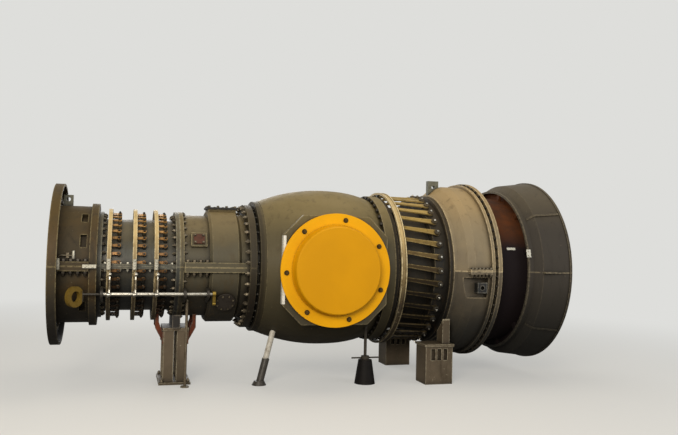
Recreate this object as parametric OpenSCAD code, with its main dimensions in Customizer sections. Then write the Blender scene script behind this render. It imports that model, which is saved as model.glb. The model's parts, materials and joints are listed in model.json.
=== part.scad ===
// Two-shaft industrial gas turbine on its workshop stands.
// The shaft runs along X, from the air inlet (-X) to the exhaust (+X), and the
// side combustor opening faces -Y. The origin is on the floor under the shaft,
// at the middle of the front stand. Lengths are in millimetres.

/* [Shaft line] */
// Height of the shaft above the floor
shaft_height = 1210; // [1120:10:1400]

/* [Inlet casing] */
// Length of the inlet casing from face to face
inlet_length = 425; // [400:5:480]
// Outer radius of the inlet face flange
inlet_flange_r = 810; // [760:5:860]
// Width of the rolled rim round the inlet face flange
inlet_rim_w = 85; // [60:5:110]
// Outer radius of the inlet barrel
inlet_barrel_r = 590; // [570:5:620]
// Radius of the bell mouth at the inlet face
bell_mouth_r = 640; // [610:5:680]
// Radius of the air passage where the blading starts
air_passage_r = 370; // [350:5:390]
// Radius of the inlet nose and inner hub
inlet_hub_r = 200; // [170:5:230]
// Number of struts that hold the inlet hub
inlet_struts = 6; // [4:1:8]
// Number of inlet guide vanes
guide_vanes = 24; // [16:1:36]

/* [Compressor] */
// Length of the front compressor casing
front_casing_length = 780; // [760:10:860]
// Outer radius of the front compressor casing
front_casing_r = 470; // [455:5:480]
// Length of the rear compressor casing
rear_casing_length = 750; // [700:10:800]
// Outer radius of the rear compressor casing
rear_casing_r = 530; // [515:5:540]
// Outer radius of the bleed chamber on the rear casing
bleed_chamber_r = 595; // [585:5:615]
// Length of the bleed chamber
bleed_chamber_length = 320; // [260:10:340]
// Wall of the compressor casings
casing_wall = 40; // [30:1:45]
// Half thickness of the front casing's flanges along the horizontal split
split_half = 24; // [18:1:26]
// Half thickness of the rear casing's flanges along the horizontal split
rear_split_half = 50; // [40:1:56]

/* [Variable stator gear] */
// Number of levers in each row of variable vanes
levers_per_row = 40; // [36:2:40]
// Length of a vane lever from its spindle to its pin
vane_lever_length = 88; // [80:1:100]
// Inner radius of the rings that turn the levers
unison_ring_r = 545; // [543:1:560]
// Depth of the ring section
unison_ring_depth = 28; // [20:1:34]
// Width of the ring section along the shaft
unison_ring_w = 38; // [30:1:46]
// Radius of the long shaft that drives the rings
torque_shaft_r = 18; // [14:1:22]
// Length of the arms on the long shaft
drive_arm = 70; // [60:1:80]
// Radius of the pins in the links
link_pin_r = 8; // [6:0.5:9]

/* [Combustion casing] */
// Length of the combustion casing
combustion_length = 1400; // [1320:10:1500]
// Largest outer radius of the combustion casing
combustion_r = 850; // [830:5:870]
// Wall of the combustion casing
combustion_wall = 45; // [30:1:55]
// Distance from the front of the casing to the combustor opening's centre
combustor_offset = 710; // [690:5:730]
// Distance from the shaft to the face of the combustor flange
combustor_reach = 930; // [915:5:960]
// Half width across the flats of the combustor flange
combustor_flat = 541; // [520:1:560]
// Outer radius of the blanking cover
cover_r = 565; // [550:5:580]
// Radius of the raised middle of the cover
cover_disc_r = 432; // [410:2:440]
// Height of the raised middle of the cover
cover_rise = 110; // [80:5:118]
// Number of bolts that hold the cover
cover_bolts_count = 7; // [5:1:12]

/* [Power turbine] */
// Length of the turbine casing
turbine_length = 640; // [620:10:700]
// Outer radius of the turbine casing under the nozzle levers
turbine_r = 690; // [670:5:700]
// Radius of the raised band that carries the nozzle spindles
spindle_band_r = 780; // [770:5:785]
// Number of turning nozzles
nozzle_count = 36; // [30:2:36]
// Length of a nozzle lever from its spindle to its pin
nozzle_lever_length = 430; // [410:5:450]
// Angle that the nozzle levers lean from the shaft line
nozzle_lean = 8; // [4:1:9]
// Inner radius of the ring that turns the nozzle levers
nozzle_ring_r = 832; // [831:1:845]
// Width of that ring along the shaft
nozzle_ring_w = 62; // [50:2:70]
// Depth of that ring's section
nozzle_ring_depth = 24; // [18:1:30]

/* [Outlet and exhaust] */
// Length of the turbine outlet casing
outlet_length = 490; // [470:10:520]
// Outer radius of the outlet casing
outlet_r = 955; // [940:5:965]
// Radius of the outlet casing's rear flange
outlet_flange_r = 1000; // [990:5:1015]
// Length of the heat-stained duct behind the outlet casing
duct_length = 430; // [400:10:450]
// Outer radius of that duct
duct_r = 840; // [835:1:850]
// Wall of that duct
duct_wall = 18; // [12:1:22]
// Length of the exhaust shell
exhaust_length = 435; // [400:5:470]
// Outer radius of the exhaust shell at its end
exhaust_r = 1050; // [1035:5:1070]
// Wall of the exhaust shell
exhaust_wall = 16; // [10:1:20]
// Radius of the exhaust's inner hub
exhaust_hub_r = 430; // [400:5:440]
// Number of struts that hold the exhaust hub
exhaust_struts = 6; // [4:1:8]
// Number of blades on the last turbine wheel
wheel_blades = 48; // [36:2:60]

/* [Stands] */
// Height of the top of the front stand's posts
post_height = 545; // [500:5:560]
// Width of one post of the front stand
post_w = 105; // [90:5:120]
// Gap between the two posts along the shaft
post_gap = 30; // [20:2:60]
// Depth of the front stand across the shaft
stand_depth = 420; // [360:10:480]
// Distance from the shaft line to the middle of each rear pedestal
pedestal_side = 600; // [560:10:620]
// Width of a rear pedestal along the shaft
pedestal_w = 310; // [280:10:330]
// Height of the box of a rear pedestal
pedestal_box_height = 400; // [360:10:430]

/* [Hidden] */
$fn = 64;
// Clearance at curved seats, and at pins that turn
seat_gap = 0.3;
pin_gap = 0.05;
face_gap = 2;

// Stations along the shaft
x_rear = 0;
x_front = x_rear - front_casing_length;
x_inlet = x_front - inlet_length;
x_spacer = x_rear + rear_casing_length;
spacer_length = 30;
x_combustion = x_spacer + spacer_length;
x_turbine = x_combustion + combustion_length;
x_outlet = x_turbine + turbine_length;
x_duct = x_outlet + outlet_length;
duct_overlap = 45;
x_exhaust = x_duct + duct_length - duct_overlap;
x_end = x_exhaust + exhaust_length;
x_combustor = x_combustion + combustor_offset;

// Casing flanges
inlet_plate = 35;
inlet_split_half = 45;
bell_end = 175;
hub_depth = 330;
strut_depth = 160;
strut_chord = 130;
inlet_strut_thick = 24;
window_w = 56;
window_h = 130;
window_depth = 45;
window_at = 155;
inlet_bolt_inset = 90;
inlet_bolt_r = 13;
guide_vane_ring_w = 84;
guide_vane_chord = 68;
guide_vane_thick = 8;
guide_vane_turn = 28;
inlet_rear_flange_w = 70;
inlet_rear_flange_r = inlet_barrel_r + 30;
joint_flange_w = 40;
front_flange_r = front_casing_r + 70;
rear_flange_r = rear_casing_r + 30;
joint_r = rear_casing_r + 130;
joint_flange_thick = 70;
split_reach = front_casing_r + 65;
bleed_chamber_at = 290;

// Variable vane rows, from the front face of the casing to each ring's middle
first_ring_at = 109;
ring_pitch_1 = 238;
ring_pitch_2 = 204;
ring_at = [first_ring_at, first_ring_at + ring_pitch_1, first_ring_at + ring_pitch_1 + ring_pitch_2];
lever_pitch = 360 / levers_per_row;
lever_thick = 10;
lever_base_r = front_casing_r + 50;
vane_boss_r = 20;
vane_stem_r = 9;
unison_pin_gap = 3;
pad_width = 34;

// Drive of the rings
torque_past_barrel = 10;
torque_y = -(inlet_barrel_r + torque_past_barrel);
torque_z = -263;
torque_from_front = 42;
torque_past_rear = 352;
torque_front = x_front + torque_from_front;
torque_end = x_rear + torque_past_rear;
arm_thick = 14;
eye_r = 18;
lug_y = torque_y - 50;
lug_z = -72;
link_thick = 10;
open_eye_play = 5;
crank_length = 95;
crank_width = 30;
crank_from_end = 4;
bracket_thick = 26;
eye_from_front = -185;
eye_drop = 20;
eye_outer_r = 98;
eye_inner_r = 52;
eye_width = 40;
eye_turn = 48;
eye_post_r = 16;
eye_bar_r = 10;
eye_bar_gap = 6;

// Nozzle gear
spindle_band_w = 150;
spindle_at = 100;
nozzle_boss_r = 36;
nozzle_boss_top = spindle_band_r + 20;
nozzle_lever_thick = 16;
nozzle_pitch = 360 / nozzle_count;
nozzle_pads = 9;
turbine_flange_w = 40;
turbine_flange_r = 800;

// Combustor opening
combustor_flange_thick = 60;
combustor_chamfer = 200;
combustor_neck_r = 500;
cover_rim_thick = 22;
cover_wall = 14;
cover_taper = 20;
cover_bolt_circle = 0.895 * cover_r;
cover_bolt_r = 17;
first_cover_bolt = 29;

// Outlet and exhaust
outlet_front_r = 850;
outlet_inner_front = 720;
wheel_at = 120;
wheel_width = 90;
blade_thick = 9;
blade_twist = 32;
exhaust_rim_r = 925;
exhaust_shoulder_r = exhaust_r - 50;
exhaust_shoulder_at = 110;
exhaust_split_half = 9;
exhaust_rib_angle = 52;
exhaust_rib_h = 12;
exhaust_rib_w = 22;
rim_clips = 12;
hub_end_gap = 110;
output_shaft_r = 90;
coupling_r = 180;
coupling_thick = 45;
strut_thick = 30;

// Stands
base_plate = 25;
top_plate = 26;
post_flange = 14;
post_web = 12;
saddle_w = 2 * joint_flange_w;
saddle_reach = 250;
arm_ring_gap = 5;
arm_head = 36;
arm_plate = 12;
arm_thick_y = 34;
arm_y = (lever_base_r + lever_thick / 2) * sin(2 * lever_pitch);
jack_before_flange = 224;
jack_side = -520;
jack_base_r = 110;
jack_top_r = 72;
jack_cone = 250;
jack_collar_h = 40;
jack_screw_r = 16;
jack_bar_r = 8;
jack_bar = 150;
prop_foot_at = [62, -410];
prop_top_at = [205, -350];
prop_upper_r = 30;
prop_lower_r = 38;
prop_foot_r = 75;
rod_r = 14;
rod_at = [90, -400];

// Places children in the shaft frame: X along the shaft, origin on its axis.
module on_shaft() {
    translate([0, 0, shaft_height]) children();
}

// Turns children so that their +Z points away from the shaft. 0 is up and 90 is the -Y side.
module at_angle(a) {
    rotate([a, 0, 0]) children();
}

// A ring of children round the shaft, one at each angle in the list.
module round_shaft(angles) {
    for (a = angles) at_angle(a) children();
}

// Whole turned part. Points are [radius, distance along the shaft].
module turned(points) {
    rotate([0, 90, 0]) rotate_extrude($fn = fine(max([for (p = points) p[0]]))) polygon(points);
}

// Upper (side = 1) or lower (side = -1) half of a turned part.
module turned_half(points, side) {
    rotate([0, 90, 0]) rotate([0, 0, 90 * side]) rotate_extrude(angle = 180) polygon(points);
}

// Facets of a preview circle, so that large seats and what rests in them stay true.
function fine(r) = r > 300 ? 240 : 64;

// Solid cylinder along the shaft from x0 to x1.
module along_x(r, x0, x1) {
    translate([x0, 0, 0]) rotate([0, 90, 0]) cylinder(r = r, h = x1 - x0, $fn = fine(r));
}

// Flange along the horizontal split, on both sides of one half casing.
module split_flange(x0, x1, r_inner, reach, side, half) {
    for (s = [-1, 1])
        translate([x0, s > 0 ? r_inner : -reach, side > 0 ? 0 : -half])
            cube([x1 - x0, reach - r_inner, half]);
}

function half_angles(count, side) =
    [for (i = [0 : count - 1]) let (a = (i + 0.5) * 360 / count)
        if ((cos(a) > 0) == (side > 0)) a];

// Inlet casing

function bell_curve() =
    [for (i = [0 : 8]) let (t = i / 8)
        [air_passage_r + (bell_mouth_r - air_passage_r) * (1 - sqrt(1 - pow(t, 2.4))),
         (inlet_length - bell_end) * (1 - t)]];

module inlet_casing(side) {
    profile = concat(
        [[air_passage_r, inlet_length]],
        bell_curve(),
        [[inlet_flange_r, 0], [inlet_flange_r, inlet_rim_w],
         [inlet_flange_r - 25, inlet_rim_w], [inlet_flange_r - 25, inlet_plate],
         [inlet_barrel_r, inlet_plate],
         [inlet_barrel_r, inlet_length - inlet_rear_flange_w],
         [inlet_rear_flange_r, inlet_length - inlet_rear_flange_w],
         [inlet_rear_flange_r, inlet_length]]);
    color("#4a4840")
    translate([x_inlet, 0, 0]) {
        difference() {
            turned_half(profile, side);
            inlet_windows();
            inlet_bolt_holes();
        }
        split_flange(inlet_plate, inlet_length - inlet_rear_flange_w,
                     inlet_barrel_r - 30, inlet_barrel_r + 60, side, inlet_split_half);
    }
}

// Blind access pockets in the barrel, three on each side.
module inlet_windows() {
    for (s = [-1, 1], a = [38, 66, 132])
        at_angle(s * a)
            translate([inlet_length - window_at, -window_h / 2, inlet_barrel_r - window_depth])
                cube([window_w, window_h, 2 * window_depth]);
}

module inlet_bolt_holes() {
    round_shaft([for (i = [0 : 11]) 15 + i * 30])
        translate([0, 0, inlet_flange_r - inlet_bolt_inset])
            along_x(inlet_bolt_r, -1, inlet_plate + 1);
}

module inlet_hub() {
    hub_front = inlet_length - hub_depth;
    color("#565a58")
    translate([x_inlet, 0, 0]) {
        translate([hub_front + inlet_hub_r, 0, 0]) rotate([0, 90, 0])
            rotate_extrude() union() {
                intersection() {
                    circle(r = inlet_hub_r);
                    translate([0, -inlet_hub_r]) square([inlet_hub_r, inlet_hub_r]);
                }
                square([inlet_hub_r, inlet_length - hub_front - inlet_hub_r]);
            }
        intersection() {
            round_shaft([for (i = [0 : inlet_struts - 1]) (i + 0.5) * 360 / inlet_struts])
                translate([inlet_length - strut_depth, -inlet_strut_thick / 2, inlet_hub_r - 10])
                    cube([strut_chord, inlet_strut_thick, air_passage_r]);
            along_x(air_passage_r - seat_gap, 0, inlet_length);
        }
    }
}

module inlet_guide_vanes() {
    ring_wall = 14;
    color("#6d706c")
    translate([x_front, 0, 0]) {
        turned([[inlet_hub_r - ring_wall, 0], [inlet_hub_r, 0], [inlet_hub_r, guide_vane_ring_w],
                [inlet_hub_r - ring_wall, guide_vane_ring_w]]);
        intersection() {
            round_shaft([for (i = [0 : guide_vanes - 1]) i * 360 / guide_vanes])
                translate([guide_vane_ring_w / 2 + 2, 0, inlet_hub_r - 5]) rotate([0, 0, guide_vane_turn])
                    translate([-guide_vane_chord / 2, -guide_vane_thick / 2, 0])
                        cube([guide_vane_chord, guide_vane_thick, air_passage_r]);
            along_x(air_passage_r - seat_gap, 0, guide_vane_ring_w + 16);
        }
    }
}

// Compressor casings

module vane_bosses(side) {
    for (x = ring_at)
        round_shaft(half_angles(levers_per_row, side))
            translate([x + vane_lever_length, 0, front_casing_r - casing_wall / 2])
                cylinder(r = vane_boss_r, h = lever_base_r - front_casing_r + casing_wall / 2);
}

module front_casing(side) {
    r_in = front_casing_r - casing_wall;
    profile = [[air_passage_r, 0], [front_flange_r, 0], [front_flange_r, joint_flange_w],
               [front_casing_r, joint_flange_w],
               [front_casing_r, front_casing_length - joint_flange_w],
               [rear_flange_r, front_casing_length - joint_flange_w],
               [rear_flange_r, front_casing_length], [r_in, front_casing_length],
               [r_in, 130], [air_passage_r, 100]];
    color("#5d6b6c")
    translate([x_front, 0, 0]) {
        turned_half(profile, side);
        vane_bosses(side);
        split_flange(joint_flange_w, front_casing_length - joint_flange_w,
                     front_casing_r - 20, split_reach, side, split_half);
    }
}

module rear_casing(side) {
    r_in = rear_casing_r - casing_wall;
    chamber_end = bleed_chamber_at + bleed_chamber_length;
    chamfer = bleed_chamber_r - rear_casing_r;
    profile = [[r_in, 0], [rear_flange_r, 0], [rear_flange_r, joint_flange_w],
               [rear_casing_r, joint_flange_w], [rear_casing_r, bleed_chamber_at],
               [bleed_chamber_r - 25, bleed_chamber_at], [bleed_chamber_r, bleed_chamber_at + 25],
               [bleed_chamber_r, chamber_end - chamfer * 0.5], [rear_casing_r + 20, chamber_end],
               [rear_casing_r + 20, rear_casing_length - joint_flange_thick],
               [joint_r, rear_casing_length - joint_flange_thick],
               [joint_r, rear_casing_length], [r_in, rear_casing_length]];
    color("#565c56")
    translate([x_rear, 0, 0]) {
        turned_half(profile, side);
        split_flange(joint_flange_w, rear_casing_length - joint_flange_thick,
                     rear_casing_r - 20, bleed_chamber_r + 25, side, rear_split_half);
        if (side > 0) {
            // Square bleed ports high on each side, and the flat boss on top of the chamber.
            for (s = [-1, 1]) at_angle(s * bleed_port_angle)
                translate([bleed_port_at - bleed_frame / 2, -bleed_frame / 2, rear_casing_r - 30])
                    cube([bleed_frame, bleed_frame, 55]);
            translate([bleed_chamber_at + 15, -150, bleed_chamber_r - 50])
                cube([bleed_chamber_length - 30, 300, 50 + top_boss_rise]);
        } else {
            // Round bleed outlets low on each side of the chamber.
            for (s = [-1, 1]) at_angle(s * low_port_angle)
                translate([bleed_chamber_at + bleed_chamber_length / 2 + 5, 0, bleed_chamber_r - 50])
                    cylinder(r = low_port_r, h = 50 + low_port_rise);
        }
    }
}

bleed_port_angle = 60;
bleed_port_at = 185;
bleed_frame = 160;
bleed_plate = 108;
top_boss_rise = 4;
top_plate_thick = 20;
low_port_angle = 124;
low_port_r = 78;
low_port_rise = 22;
low_cover_r = 100;

// Blank plates on the side ports, the plate on top of the chamber and the low round blanks.
module bleed_covers() {
    translate([x_rear, 0, 0]) {
        color("#5a3b33")
        for (s = [-1, 1]) at_angle(s * bleed_port_angle)
            translate([bleed_port_at - bleed_plate / 2, -bleed_plate / 2, rear_casing_r + 25])
                cube([bleed_plate, bleed_plate, 14]);
        color("#26262a")
        translate([bleed_chamber_at, -165, bleed_chamber_r + top_boss_rise])
            cube([bleed_chamber_length, 330, top_plate_thick]);
        color("#3a3d3b")
        for (s = [-1, 1]) at_angle(s * low_port_angle)
            translate([bleed_chamber_at + bleed_chamber_length / 2 + 5, 0, bleed_chamber_r + low_port_rise])
                cylinder(r = low_cover_r, h = 18);
    }
}

// Variable stator gear

module vane_lever() {
    tip = -vane_lever_length;
    translate([0, 0, lever_base_r]) {
        linear_extrude(lever_thick) union() {
            circle(r = 17);
            polygon([[0, -14], [tip, -9], [tip, 9], [0, 14]]);
            translate([tip, 0]) circle(r = 11);
        }
        cylinder(r = vane_stem_r + 5, h = lever_thick + 16, $fn = 6);
        translate([tip, 0, 0]) cylinder(r = 6, h = unison_ring_r - unison_pin_gap - lever_base_r);
    }
}

module vane_levers(row) {
    color("#a98a4a")
    translate([x_front + ring_at[row] + vane_lever_length, 0, 0])
        round_shaft([for (i = [0 : levers_per_row - 1]) (i + 0.5) * lever_pitch])
            vane_lever();
}

function pad_angles() =
    [for (s = [0, 1], i = [-1, 0, 1]) round((s * 180 + i * 50) / lever_pitch) * lever_pitch];

// Feet on the casing that each ring slides on.
module ring_guide_pads() {
    color("#3c3f42")
    for (x = ring_at)
        intersection() {
            round_shaft(pad_angles())
                translate([x_front + x - unison_ring_w / 2 + 4, -pad_width / 2, 0])
                    cube([unison_ring_w - 8, pad_width, unison_ring_r + 20]);
            translate([x_front + x, 0, 0]) turned(
                [[front_casing_r + seat_gap, -unison_ring_w], [unison_ring_r - seat_gap, -unison_ring_w],
                 [unison_ring_r - seat_gap, unison_ring_w], [front_casing_r + seat_gap, unison_ring_w]]);
        }
}

module unison_ring(row) {
    outer = unison_ring_r + unison_ring_depth;
    half = unison_ring_w / 2;
    splice_angle = 3.4;
    color("#c2b49a")
    translate([x_front + ring_at[row], 0, 0]) {
        turned([[unison_ring_r, -half], [outer, -half], [outer, half], [unison_ring_r, half]]);
        // Blocks where the two halves of the ring are bolted together
        for (s = [-1, 1], t = [-1, 1]) at_angle(s * 90 + t * splice_angle)
            translate([2 - half, -14, outer - 8]) cube([unison_ring_w - 4, 28, 34]);
        ring_lug(outer);
    }
}

// Lug on the ring for the link, with its pin.
module ring_lug(outer) {
    root = outer - 9;
    rotate([90, 0, 90]) translate([0, 0, -arm_thick / 2])
        linear_extrude(arm_thick) union() {
            translate([lug_y, lug_z]) circle(r = eye_r);
            polygon([[lug_y, lug_z + eye_r], [lug_y, lug_z - eye_r],
                     [-root * cos(10), -root * sin(10)], [-root * cos(4.5), -root * sin(4.5)]]);
        }
    translate([0, lug_y, lug_z]) along_x(link_pin_r, 0, arm_thick / 2 + face_gap + link_thick + 4);
}

module drive_lever(length, reach_dir, width) {
    // Outline in the YZ plane: hub round the shaft, tapering to the pin eye.
    rotate([90, 0, 90]) linear_extrude(width) union() {
        circle(r = torque_shaft_r + 14);
        rotate(reach_dir) polygon([[0, torque_shaft_r + 8], [length, eye_r - 2],
                                   [length, -eye_r + 2], [0, -torque_shaft_r - 8]]);
        rotate(reach_dir) translate([length, 0]) circle(r = eye_r);
    }
}

module torque_shaft() {
    color("#c9cbc8")
    translate([0, torque_y, torque_z]) {
        along_x(torque_shaft_r, torque_front, torque_end);
        for (x = ring_at) {
            translate([x_front + x - arm_thick / 2, 0, 0]) drive_lever(drive_arm, 180, arm_thick);
            translate([x_front + x, -drive_arm, 0])
                along_x(link_pin_r, 0, arm_thick / 2 + face_gap + link_thick + 4);
        }
    }
    color("#c8b25a")
    translate([torque_end - crank_from_end - crank_width, torque_y, torque_z]) difference() {
        drive_lever(crank_length, -90, crank_width);
        translate([0, 0, -crank_length]) along_x(link_pin_r, -1, crank_width + 1);
    }
}

// Fixed eye on the inlet barrel, in line with the long shaft, with its bar.
module shaft_end_eye() {
    wall_r = (eye_outer_r + eye_inner_r) / 2;
    place = [x_front + eye_from_front, torque_y - wall_r * sin(eye_turn), torque_z - eye_drop];
    bar_from = place[0] + wall_r * cos(eye_turn);
    translate(place) rotate([90, 0, eye_turn]) difference() {
        cylinder(r = eye_outer_r, h = eye_width, center = true);
        cylinder(r = eye_inner_r, h = eye_width + 2, center = true);
    }
    translate([0, torque_y, torque_z]) along_x(eye_bar_r, bar_from, torque_front - eye_bar_gap);
    difference() {
        for (t = [-1, 1])
            translate(place + [0, eye_width / 2, t * wall_r])
                rotate([-90, 0, 0]) cylinder(r = eye_post_r, h = inlet_barrel_r / 3);
        along_x(inlet_barrel_r + seat_gap, x_inlet, x_front);
    }
}

// Bearing plates that carry the long shaft.
module torque_shaft_brackets() {
    places = [
        [x_front + joint_flange_w, front_casing_r + 22],
        [x_rear + joint_flange_w, rear_casing_r + 8],
        [x_rear + bleed_chamber_at - bracket_thick, rear_casing_r + 8]];
    foot_half = 70;
    color("#3f4346")
    for (p = places) translate([p[0], 0, 0]) difference() {
        rotate([90, 0, 90]) linear_extrude(bracket_thick) union() {
            translate([torque_y, torque_z]) circle(r = torque_shaft_r + 20);
            polygon([[torque_y, torque_z + torque_shaft_r + 20], [torque_y, torque_z - torque_shaft_r - 20],
                     [-p[1] * 0.78, torque_z - foot_half - 30], [-p[1] * 0.78, torque_z + foot_half]]);
        }
        along_x(p[1], -1, bracket_thick + 1);
        translate([0, torque_y, torque_z]) along_x(torque_shaft_r + pin_gap, -1, bracket_thick + 1);
    }
    color("#c8a428")
    shaft_end_eye();
}

// Link from an arm of the long shaft up to the lug on its ring.
module ring_link(row) {
    lower = [torque_y - drive_arm, torque_z];
    upper = [lug_y, lug_z];
    length = norm(upper - lower);
    lean = atan2(upper[0] - lower[0], upper[1] - lower[1]);
    color("#d4d6d6")
    translate([x_front + ring_at[row] + arm_thick / 2 + face_gap, 0, 0])
        rotate([90, 0, 90]) translate(lower) rotate(-lean) linear_extrude(link_thick) difference() {
            union() {
                circle(r = eye_r);
                translate([-7, 0]) square([14, length]);
                translate([0, length]) circle(r = eye_r + open_eye_play - 1);
            }
            circle(r = link_pin_r + pin_gap);
            translate([0, length]) circle(r = link_pin_r + open_eye_play);
        }
}

// Spool between the rear compressor casing and the combustion casing, with its studs.
module joint_spacer() {
    color("#3a3d3b")
    translate([x_spacer, 0, 0]) {
        turned([[rear_casing_r - casing_wall, 0], [rear_casing_r + 60, 0],
                [rear_casing_r + 60, spacer_length], [rear_casing_r - casing_wall, spacer_length]]);
        round_shaft([for (i = [0 : 35]) i * 10 + 5])
            translate([0, 0, joint_r - 32]) along_x(11, 0, spacer_length);
    }
}

// Combustion casing

front_r = rear_casing_r + 175;
rear_r = combustion_r - 85;
combustion_front_flange = 60;
combustion_rear_flange = 100;

// Outer radius of the crowned barrel at a distance from its front face.
function crown(x, drop) =
    let (peak = 0.55 * combustion_length,
         a = x < peak ? (peak - x) / (peak - combustion_front_flange)
                      : (x - peak) / (combustion_length - combustion_rear_flange - peak),
         low = x < peak ? front_r : rear_r)
    combustion_r - drop - (combustion_r - low) * pow(a, x < peak ? 2.0 : 2.6);

function crown_points(drop) =
    let (first = combustion_front_flange, last = combustion_length - combustion_rear_flange)
    [for (i = [0 : 16]) let (x = first + (last - first) * i / 16) [crown(x, drop), x]];

function reversed(list) = [for (i = [len(list) - 1 : -1 : 0]) list[i]];

module combustor_flange_outline() {
    f = combustor_flat;
    c = combustor_chamfer;
    polygon([[f, f - c], [f - c, f], [c - f, f], [-f, f - c],
             [-f, c - f], [c - f, -f], [f - c, -f], [f, c - f]]);
}

module combustion_casing() {
    w = combustion_wall;
    flange_r = combustion_r - 40;
    outer = concat(
        [[joint_r + 40, 0], [joint_r + 40, combustion_front_flange]],
        crown_points(0),
        [[flange_r, combustion_length - combustion_rear_flange], [flange_r, combustion_length]]);
    inner = concat(
        [[turbine_r - 50, combustion_length], [turbine_r - 50, combustion_length - combustion_rear_flange]],
        reversed(crown_points(w)),
        [[rear_casing_r - casing_wall, combustion_front_flange], [rear_casing_r - casing_wall, 0]]);
    color("#4c5049")
    difference() {
        union() {
            translate([x_combustion, 0, 0]) turned(concat(outer, inner));
            difference() {
                translate([x_combustor, 0, 0]) rotate([90, 0, 0]) {
                    cylinder(r = combustor_neck_r, h = combustor_reach - 20);
                    translate([0, 0, combustor_reach - combustor_flange_thick])
                        linear_extrude(combustor_flange_thick) combustor_flange_outline();
                }
                along_x(combustion_r - w, x_combustor - combustor_neck_r - 60,
                        x_combustor + combustor_neck_r + 60);
            }
        }
        translate([x_combustor, 0, 0]) rotate([90, 0, 0])
            cylinder(r = combustor_neck_r - 50, h = combustor_reach + 1);
    }
}

// Dished blank over the combustor opening.
module combustor_cover() {
    rim = cover_rim_thick;
    top = rim + cover_rise;
    d = cover_disc_r;
    w = cover_wall;
    color("#d79a08")
    translate([x_combustor, -combustor_reach, 0]) rotate([90, 0, 0]) rotate_extrude()
        polygon([[0, top - w], [d - w, top - w], [d + cover_taper - w, 0], [cover_r, 0], [cover_r, rim],
                 [d + cover_taper, rim], [d, top - 8], [d - 10, top], [0, top]]);
}

module cover_bolts() {
    color("#5b4a22")
    translate([x_combustor, -combustor_reach - cover_rim_thick, 0]) rotate([90, 0, 0])
        for (i = [0 : cover_bolts_count - 1])
            rotate(first_cover_bolt + i * 360 / cover_bolts_count)
                translate([cover_bolt_circle, 0, 0]) {
                    cylinder(r = cover_bolt_r + 8, h = 4);
                    cylinder(r = cover_bolt_r, h = 22, $fn = 6);
                }
}

// Power turbine

module turbine_casing() {
    inner = turbine_r - 50;
    band = turbine_length - turbine_flange_w - spindle_band_w;
    color("#3f403c")
    translate([x_turbine, 0, 0]) {
        turned([[inner, 0], [turbine_flange_r, 0], [turbine_flange_r, turbine_flange_w],
                [turbine_r, turbine_flange_w], [turbine_r, band], [spindle_band_r, band],
                [spindle_band_r, turbine_length - turbine_flange_w],
                [turbine_flange_r + 35, turbine_length - turbine_flange_w],
                [turbine_flange_r + 35, turbine_length],
                [inner, turbine_length]]);
        round_shaft([for (i = [0 : nozzle_count - 1]) i * nozzle_pitch])
            translate([turbine_length - turbine_flange_w - spindle_at, 0, spindle_band_r - 20])
                cylinder(r = nozzle_boss_r, h = nozzle_boss_top - spindle_band_r + 20);
    }
}

module nozzle_lever() {
    tip = -nozzle_lever_length;
    translate([0, 0, nozzle_boss_top]) rotate(-nozzle_lean) {
        linear_extrude(nozzle_lever_thick) union() {
            circle(r = 34);
            polygon([[0, -28], [tip, -20], [tip, 20], [0, 28]]);
            translate([tip, 0]) circle(r = 20);
        }
        cylinder(r = 22, h = nozzle_lever_thick + 20, $fn = 6);
    }
}

spindle_x = x_turbine + turbine_length - turbine_flange_w - spindle_at;
nozzle_ring_x = spindle_x - nozzle_lever_length * cos(nozzle_lean);

module nozzle_levers() {
    color("#9c8a5c")
    translate([spindle_x, 0, 0])
        round_shaft([for (i = [0 : nozzle_count - 1]) i * nozzle_pitch])
            nozzle_lever();
}

module nozzle_ring_pads() {
    lean_angle = atan(nozzle_lever_length * sin(nozzle_lean) / nozzle_boss_top);
    half = nozzle_ring_w / 2 - 6;
    color("#33352f")
    intersection() {
        round_shaft([for (i = [0 : nozzle_pads - 1])
            (round(i * nozzle_count / nozzle_pads) + 0.5) * nozzle_pitch - lean_angle])
            translate([nozzle_ring_x - half, -18, 0]) cube([2 * half, 36, nozzle_ring_r + 20]);
        turned([[turbine_r + seat_gap, nozzle_ring_x - nozzle_ring_w],
                [nozzle_ring_r - seat_gap, nozzle_ring_x - nozzle_ring_w],
                [nozzle_ring_r - seat_gap, nozzle_ring_x + nozzle_ring_w],
                [turbine_r + seat_gap, nozzle_ring_x + nozzle_ring_w]]);
    }
}

module nozzle_ring() {
    half = nozzle_ring_w / 2;
    outer = nozzle_ring_r + nozzle_ring_depth;
    color("#b3a782")
    translate([nozzle_ring_x, 0, 0])
        turned([[nozzle_ring_r, -half], [outer, -half], [outer, -half + 10], [outer - 8, -half + 10],
                [outer - 8, half - 10], [outer, half - 10], [outer, half], [nozzle_ring_r, half]]);
}

// Outlet casing and exhaust

// Outer line of the outlet casing's front, grown by a clearance.
function outlet_front(grow) =
    [[outlet_front_r + grow, grow > 0 ? -1 : 0], [outlet_front_r + grow, 45],
     [outlet_r - 30 + grow, 125], [outlet_r + grow, 200]];

module outlet_casing(side) {
    back = outlet_length;
    profile = concat([[outlet_inner_front, 0]], outlet_front(0),
        [[outlet_r, back - 110], [outlet_r + 30, back - 110], [outlet_r + 30, back - 75],
         [outlet_r, back - 75], [outlet_r, back - 45], [outlet_flange_r, back - 45],
         [outlet_flange_r, back], [duct_r - duct_wall, back]]);
    color("#9a968a")
    translate([x_outlet, 0, 0]) difference() {
        union() {
            turned_half(profile, side);
            split_flange(125, back - 110, outlet_r - 40, outlet_r + 40, side, split_half);
        }
        if (side < 0) for (s = [-1, 1]) side_pocket(s);
    }
}

pocket_at = 90;
pocket_length = 260;
pocket_height = 210;
pocket_depth = 70;
trunnion_block = 110;
trunnion_depth = 80;
trunnion_hole_r = 22;

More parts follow.
